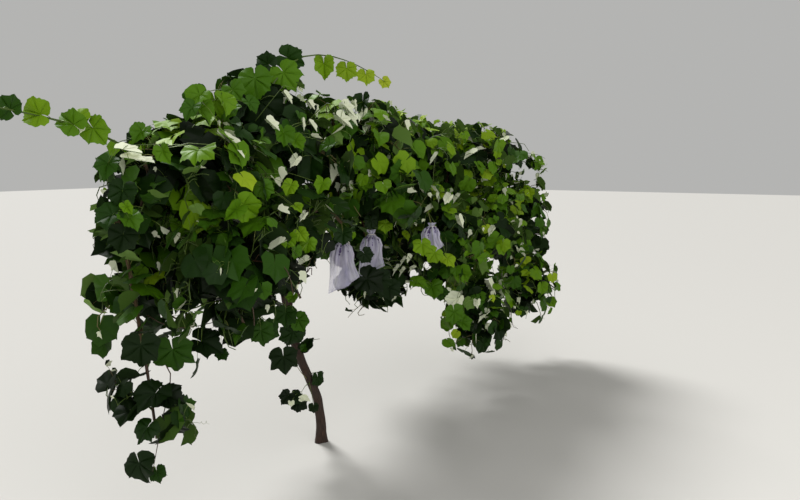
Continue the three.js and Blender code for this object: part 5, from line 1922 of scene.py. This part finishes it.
@dataclass(frozen=True)
class FruitBag:
    """A sheer bag drawn in over a bunch of grapes, flat and square at its foot.

    Its profile is given at stations down the bag, from the ruffle at 0 to the foot at 1. Half widths and half
    depths are shares of half the bag's width. Rows of berries are given by the first, the end and the step.
    """

    name: str
    root_x: float
    top: Point
    width: float
    height: float
    turn: float
    tilt: float
    lean: float
    leaves: tuple[Leaf, ...] = ()
    pleats: int = 13
    bearer_drop: float = 0.055
    bearer_arch: float = 0.22
    bearer_lean: float = 0.06
    rows: int = 84
    columns: int = 156
    stations: tuple[float, ...] = (0.0, 0.05, 0.09, 0.13, 0.22, 0.38, 0.52, 0.70, 0.90, 1.0)
    half_widths: tuple[float, ...] = (0.30, 0.24, 0.15, 0.22, 0.56, 0.74, 0.72, 0.80, 0.96, 1.02)
    half_depths: tuple[float, ...] = (0.22, 0.18, 0.13, 0.20, 0.46, 0.56, 0.46, 0.24, 0.08, 0.03)
    powers: tuple[float, ...] = (1.0, 1.0, 1.0, 1.0, 0.95, 0.85, 0.76, 0.60, 0.45, 0.40)
    pleat_depths: tuple[float, ...] = (0.24, 0.22, 0.17, 0.17, 0.12, 0.070, 0.045, 0.025, 0.008, 0.0)
    crease_depth: float = 0.03
    fold_depth: float = 0.13
    foot_wave: float = 0.006
    bunch_rows: tuple[float, ...] = (0.20, 0.62, 0.052)
    bunch_width: float = 0.56
    bunch_depth: float = 0.66
    berry_pitch: float = 0.0165
    berry_radii: Pair = (0.0078, 0.0092)
    berry_shake: float = 0.0012
    neck: float = 0.10
    neck_radius: float = 0.20
    string_steps: int = 60
    string_radius: float = 0.0011
    wrap_turns: int = 2
    wrap_top: float = 0.095
    wrap_run: float = 0.004
    # side and fall of each loose end, and how far it spreads, curls and comes forward
    string_ends: tuple[Pair, ...] = ((1, 0.075), (-1, 0.055))
    end_spread: float = 0.010
    end_curl: float = 0.008
    end_forward: float = 0.016
    stalk_foot: float = 0.60
    stalk_radii: Pair = (0.0024, 0.0012)
    sides: int = 6

    def middle(self) -> Array:
        """Middle of the bag."""
        return np.asarray(self.top) - UP * 0.5 * self.height

    def bearer(self, skeleton: Skeleton) -> Array:
        """Line of the bearing shoot: it arches from the cordon and ends over the bag."""
        root = skeleton.root(self.root_x)
        tip = lerp(np.asarray(self.top) + UP * self.bearer_drop, root, self.bearer_lean)
        middle = lerp(root, tip, 0.55) + UP * self.bearer_arch * np.linalg.norm(tip - root)
        return smooth_line([root, middle, tip], BEARER_STEPS)

    def cloth(self) -> Shell:
        """Lofts the bag from its ruffle through the drawn neck and over the fruit to the flat foot.

        A point at an angle round the bag and a share down it lies on a super-ellipse: half width times the
        signed power of the cosine, half depth times that of the sine. The power falls from 1 at the neck to
        under a half at the foot, so a round neck becomes a flat square end. Pleats are a cosine of whole turns
        whose depth fades downward. Long folds are a sine of the place across, the same on both sides of the
        cloth, that grows downward. The foot rises to one corner by the tilt, and the fruit leans aside.

        Returns:
            The outer skin, with its grain in metres.
        """
        rows, columns = self.rows, self.columns
        down = np.linspace(0, 1, rows)[:, None]
        angle = np.linspace(0, TURN, columns, endpoint=False)[None]
        half = self.width / 2
        across, through, power, fade = (
            np.interp(down, self.stations, shares)
            for shares in (self.half_widths, self.half_depths, self.powers, self.pleat_depths)
        )
        cosine, sine = np.cos(angle), np.sin(angle)
        x = across * half * np.sign(cosine) * np.abs(cosine) ** power
        y = through * half * np.sign(sine) * np.abs(sine) ** power
        pleat = fade * np.cos(self.pleats * angle + 3 * np.sin(2 * angle) + 1.5 * down)
        crease = self.crease_depth * np.sin(5 * angle + 9 * down + 7 * self.turn) * np.sin(np.pi * down) ** 0.7
        x = x * (1 + 0.8 * (pleat + crease))
        spot = x / half
        folds = np.sin(5.2 * spot + 1.6 * down + 5 * self.turn) + 0.5 * np.sin(11 * spot - 2 * down + 2 * self.turn)
        y = y * (1 + 1.6 * (pleat + crease)) + self.fold_depth * half * down**1.6 * folds
        x = x + half * (self.lean * np.sin(np.pi * down**0.8) + 0.04 * np.sin(5 * down + self.turn * 9) * down)
        rise = self.tilt * spot + self.foot_wave * np.sin(3.1 * spot + 2 * self.turn)
        wall = self._placed(x, y, -self.height * down + rise * down**2)
        quads = ring_quads(rows, columns)[:, BACKWARD]
        row, column = np.divmod(quads[:, 0], columns)
        u, v = column / columns * 2 * self.width, row / rows * self.height
        du, dv = 2 * self.width / columns, self.height / rows
        corners = ((u, v), (u, v + dv), (u + du, v + dv), (u + du, v))
        grain = np.stack([np.stack(corner, axis=1) for corner in corners], axis=1)
        last = (rows - 1) * columns
        edge = np.arange(columns)
        foot = np.stack([last + (edge + 1) % columns, last + edge, np.full(columns, rows * columns)], axis=1)
        points = np.concatenate([wall.reshape(-1, 3), wall[-1:].mean(axis=1)])
        return Shell(points, quads, foot, grain=grain)

    def _placed(self, x: Array, y: Array, z: Array) -> Array:
        """Turns the bag about its own axis and moves it under its top."""
        cosine, sine = math.cos(self.turn), math.sin(self.turn)
        return np.stack([
            self.top[0] + cosine * x - sine * y, self.top[1] + sine * x + cosine * y, self.top[2] + z,
        ], axis=-1)

    def grapes(self, rng: np.random.Generator) -> Shell:
        """Packs berries into a tapering bunch: rings of berries down the middle of the bag.

        Args:
            rng: random numbers for their places.

        Returns:
            The berries, each a ball of rings and sides.
        """
        half = self.width / 2
        centres = []
        for row, down in enumerate(np.arange(*self.bunch_rows)):
            spread = half * self.bunch_width * math.sin(math.pi * min(1.0, (down - 0.12) / 0.50)) ** 0.6
            number = max(1, int(2 * math.pi * spread / self.berry_pitch))
            angle = TURN * (np.arange(number) + 0.5 * (row % 2)) / number
            aside = half * self.lean * math.sin(math.pi * down**0.8)
            ring = np.stack([
                aside + spread * np.cos(angle), self.bunch_depth * spread * np.sin(angle),
                np.full(number, -self.height * down),
            ], axis=1)
            centres.append(ring + rng.normal(0, self.berry_shake, ring.shape))
        centre = self._placed(*np.concatenate(centres).T)
        return balls(centre, rng.uniform(*self.berry_radii, len(centre)))

    def string(self) -> Shell:
        """Ties the neck: two turns of string round it, and two loose ends that hang."""
        t = np.linspace(0, 1, self.string_steps)
        radius = self.width / 2 * self.neck_radius
        angle = TURN * self.wrap_turns * t
        drop = -self.height * self.wrap_top - self.wrap_run * t
        lines = [self._placed(radius * np.cos(angle), radius * np.sin(angle), drop)]
        for side, fall in self.string_ends:
            x = radius + side * self.end_spread * t + self.end_curl * np.sin(5 * t)
            y = side * self.end_forward * t - radius * 0.6
            lines.append(self._placed(x, y, -self.height * self.neck - fall * t**1.3))
        stack = np.array(lines)
        radii = np.full(stack.shape[:2], self.string_radius)
        return tubes(stack, radii, self.sides, across=np.tile(UP, (len(stack), 1)))

    def stalk(self, bearer: Array) -> Shell:
        """Hangs the bunch's stalk from the tip of the bearing shoot, through the neck and into the bag."""
        neck, foot = (np.asarray(self.top) - UP * share * self.height for share in (self.neck, self.stalk_foot))
        line = smooth_line([bearer[-1], lerp(bearer[-1], neck, 0.5), neck, foot], BEARER_STEPS)
        return tubes(line[None], np.linspace(*self.stalk_radii, BEARER_STEPS)[None], self.sides)

    def build(self, cloth: bpy.types.Material, grape: bpy.types.Material, string: bpy.types.Material,
              stem: bpy.types.Material, skeleton: Skeleton) -> None:
        """Makes the bag, its string, the grapes inside and the stalk that carries them."""
        berries = self.grapes(np.random.default_rng(int(1000 * self.height)))
        stalk = self.stalk(self.bearer(skeleton))
        place(self.cloth().piece(f"bag_{self.name}", [cloth]), [f"fruit_bag_{self.name}"])
        place(berries.piece(f"grapes_{self.name}", [grape]))
        place(self.string().piece(f"string_{self.name}", [string]))
        place(stalk.piece(f"fruit_stalk_{self.name}", [stem]))


def balls(centres: Array, radii: Array, sides: int = 8, rings: int = 5) -> Shell:
    """Makes many small balls: rings at equal steps of the polar angle between two poles.

    Args:
        centres: centre of each ball.
        radii: radius of each ball.
        sides: corners of each ring.
        rings: rings between the poles.

    Returns:
        The balls as one shell.
    """
    polar = np.pi * np.arange(1, rings + 1) / (rings + 1)
    angle = TURN * np.arange(sides) / sides
    wall = np.stack([
        np.outer(np.sin(polar), np.cos(angle)), np.outer(np.sin(polar), np.sin(angle)),
        np.outer(np.cos(polar), np.ones(sides)),
    ], axis=-1).reshape(-1, 3)
    shape = np.concatenate([wall, [[0, 0, 1], [0, 0, -1]]])
    quads, caps = ring_quads(rings, sides)[:, BACKWARD], ring_caps(rings, sides)[:, (1, 0, 2)]
    return copies(centres[:, None] + radii[:, None, None] * shape, quads, caps)


BAGS = (
    FruitBag("left", -0.060, (-0.104, -0.228, 1.064), width=0.146, height=0.236, turn=-0.80,
             tilt=0.034, lean=-0.16, leaves=(
        Leaf((-0.215, -0.3, 1.085), 0.078, (-0.7, -0.55, 0.35), DOWN, 2, 0.3, 0.2),
        Leaf((-0.155, -0.3, 1.078), 0.05, NEAR, DOWN_LEFT, 8, 0.5),
    )),
    FruitBag("middle", 0.225, (0.136, -0.218, 1.070), width=0.146, height=0.210, turn=-0.45,
             tilt=0.022, lean=0.06, leaves=(
        Leaf((-0.09, -0.33, 0.985), 0.07, NEAR, DOWN_RIGHT, 1, 0.1, 0.2),
        Leaf((0.04, -0.28, 1.125), 0.066, (-0.6, -0.7, 0.3), DOWN, 1, 0.3, 0.2),
        Leaf((0.17, -0.28, 1.1), 0.07, NEAR, DOWN, 9, 0.25, 0.2),
    )),
    FruitBag("right", 0.420, (0.453, -0.385, 1.086), width=0.126, height=0.148, turn=-0.95,
             tilt=0.022, lean=-0.12, leaves=(
        Leaf((0.21, -0.46, 1.005), 0.088, NEAR_UP, DOWN, 9),
        Leaf((0.36, -0.45, 0.945), 0.086, NEAR, DOWN_LEFT, 9),
        Leaf((0.5, -0.45, 0.9), 0.078, NEAR_UP, DOWN_RIGHT, 10),
    )),
)


def kept_sights() -> Sights:
    """Lists the bags and the given leaves, which the grown leaves must not hide."""
    leaves = [leaf for holder in (*CANES, *SPRAYS, *SPROUTS, *BAGS) for leaf in holder.leaves]
    middles = [*(leaf.middle() for leaf in leaves), *(bag.middle() for bag in BAGS)]
    halves = [*((0.40 * leaf.width, 0.34 * leaf.width) for leaf in leaves),
              *((0.52 * bag.width, 0.50 * bag.height) for bag in BAGS)]
    return Sights(middles, halves)


@dataclass(frozen=True)
class Studio:
    """Plain pale floor, soft light and a camera where the photograph was taken."""

    pitch: float = math.radians(-7.35)
    lens: float = 31.05
    sensor: float = 36.0
    farthest: float = 100.0
    floor_size: float = 60.0
    sky_strength: float = 0.60
    key_energy: float = 3.0
    key_softness: float = math.radians(20)
    fill_at: Point = (-3.2, -4.0, 3.6)
    fill_aim: Point = (0.2, 0.0, 1.1)
    fill_size: float = 4.5
    fill_power: float = 90.0

    def build(self) -> None:
        """Makes the floor, the sky, the lights and the camera."""
        bpy.context.scene.view_settings.view_transform = "Standard"
        self._floor()
        self._sky()
        self._key()
        self._fill()
        self._camera()

    @staticmethod
    def _stand(name: str, data: bpy.types.ID, facing: Array, at: Point = (0.0, 0.0, 0.0)) -> bpy.types.Object:
        """Stands a lamp or camera at a place, turned to face along a direction."""
        fixture = bpy.data.objects.new(name, data)
        fixture.location = at
        fixture.rotation_euler = Vector(facing).to_track_quat("-Z", "Y").to_euler()
        bpy.context.scene.collection.objects.link(fixture)
        return fixture

    def _floor(self) -> None:
        """Lays one wide pale plane at ground level."""
        half = self.floor_size / 2
        mesh = bpy.data.meshes.new("floor")
        corners = [(-half, -half, 0), (half, -half, 0), (half, half, 0), (-half, half, 0)]
        mesh.from_pydata(corners, [], [(0, 1, 2, 3)])
        mesh.materials.append(PlainFinish("floor_paper", (204, 202, 197), 0.9).material())
        floor = bpy.data.objects.new("floor", mesh)
        bpy.context.scene.collection.objects.link(floor)

    def _sky(self) -> None:
        """Fills the studio with even, colourless light."""
        world = bpy.data.worlds.new("studio")
        world.use_nodes = True
        background = world.node_tree.nodes["Background"]
        background.inputs["Color"].default_value = linear(226, 226, 224)
        background.inputs["Strength"].default_value = self.sky_strength
        bpy.context.scene.world = world

    def _key(self) -> None:
        """Lights the plant evenly and softly from high behind the row."""
        lamp = bpy.data.lights.new("key_light", "SUN")
        lamp.energy = self.key_energy
        lamp.angle = self.key_softness
        self._stand("key_light", lamp, -SUN)

    def _fill(self) -> None:
        """Hangs a square soft lamp on the eye's side, facing the middle of the plant."""
        lamp = bpy.data.lights.new("fill_light", "AREA")
        lamp.size = self.fill_size
        lamp.energy = self.fill_power
        self._stand("fill_light", lamp, np.subtract(self.fill_aim, self.fill_at), self.fill_at)

    def _camera(self) -> None:
        """Stands the camera at the photograph's eye point and turns it along its line of sight."""
        camera = bpy.data.cameras.new("camera")
        camera.lens = self.lens
        camera.sensor_width = self.sensor
        camera.clip_end = self.farthest
        ahead = math.cos(self.pitch) * AHEAD + math.sin(self.pitch) * UP
        bpy.context.scene.camera = self._stand("camera", camera, ahead, EYE)


REGIONS = (
    ("left", ("crown_left_end", "front_left_end", "crown_left", "front_left")),
    ("middle", ("crown_middle", "front_middle", "crown_right", "front_right")),
    ("far", ("crown_far", "front_far", "crown_far_end", "front_far_end")),
    ("back", ("back_left", "back_middle", "back_right", "back_far")),
    ("skirts", ("skirt_left", "skirt_middle", "skirt_near", "skirt_far")),
)


def main() -> None:
    """Builds the studio and then the plant, from its wood to its leaves and fruit."""
    logging.basicConfig(level=logging.INFO, format="%(message)s")
    Studio().build()
    mottle = mottle_group()
    skeleton = Skeleton()
    spaces = all_spaces()
    bark = BarkFinish("old_bark", (20, 13, 11), (78, 56, 44), (60, 50, 44)).material(mottle)
    young = BarkFinish("young_bark", (50, 36, 24), (104, 80, 54), (88, 76, 52)).material(mottle)
    extra = [(f"bough_cane_{cane.name}", cane.bough(skeleton)) for cane in CANES]
    extra += [(f"bough_fruit_{bag.name}", bag.bearer(skeleton)) for bag in BAGS]
    WoodyFrame(skeleton, list(spaces.values())).build(bark, young, extra)

    foliage = Foliage()
    sights = kept_sights()
    seeds = {name: 101 + index for index, name in enumerate(spaces)}
    for index, (region, names) in enumerate(REGIONS):
        growth = Growth()
        for name in names:
            Mass(spaces[name], skeleton, seeds[name], sights).grow(growth)
        nodes = [f"foliage_{name}" for name in names]
        foliage.finish(region, growth, nodes, foliage.plain, seed=50 + index)

    growth = Growth()
    for cane in (*CANES, *SPRAYS):
        cane.grow(growth)
    for bag in BAGS:
        set_by_hand(growth, bag.bearer(skeleton), bag.leaves)
    nodes = [f"cane_{cane.name}" for cane in CANES]
    foliage.finish("long_canes", growth, nodes, foliage.fine, seed=70)
    growth = Growth()
    for sprout in SPROUTS:
        sprout.grow(growth, skeleton.trunk)
    nodes = [f"sprout_{sprout.name}" for sprout in SPROUTS]
    foliage.finish("sprouts", growth, nodes, foliage.fine, seed=71)

    cloth = ClothFinish().material(mottle)
    grape = GrapeFinish().material(mottle)
    string = PlainFinish("bag_string", (226, 222, 214), 0.8).material()
    stem = PlainFinish("fruit_stalk", (112, 104, 52), 0.6).material()
    for bag in BAGS:
        bag.build(cloth, grape, string, stem, skeleton)


if __name__ == "__main__":
    main()
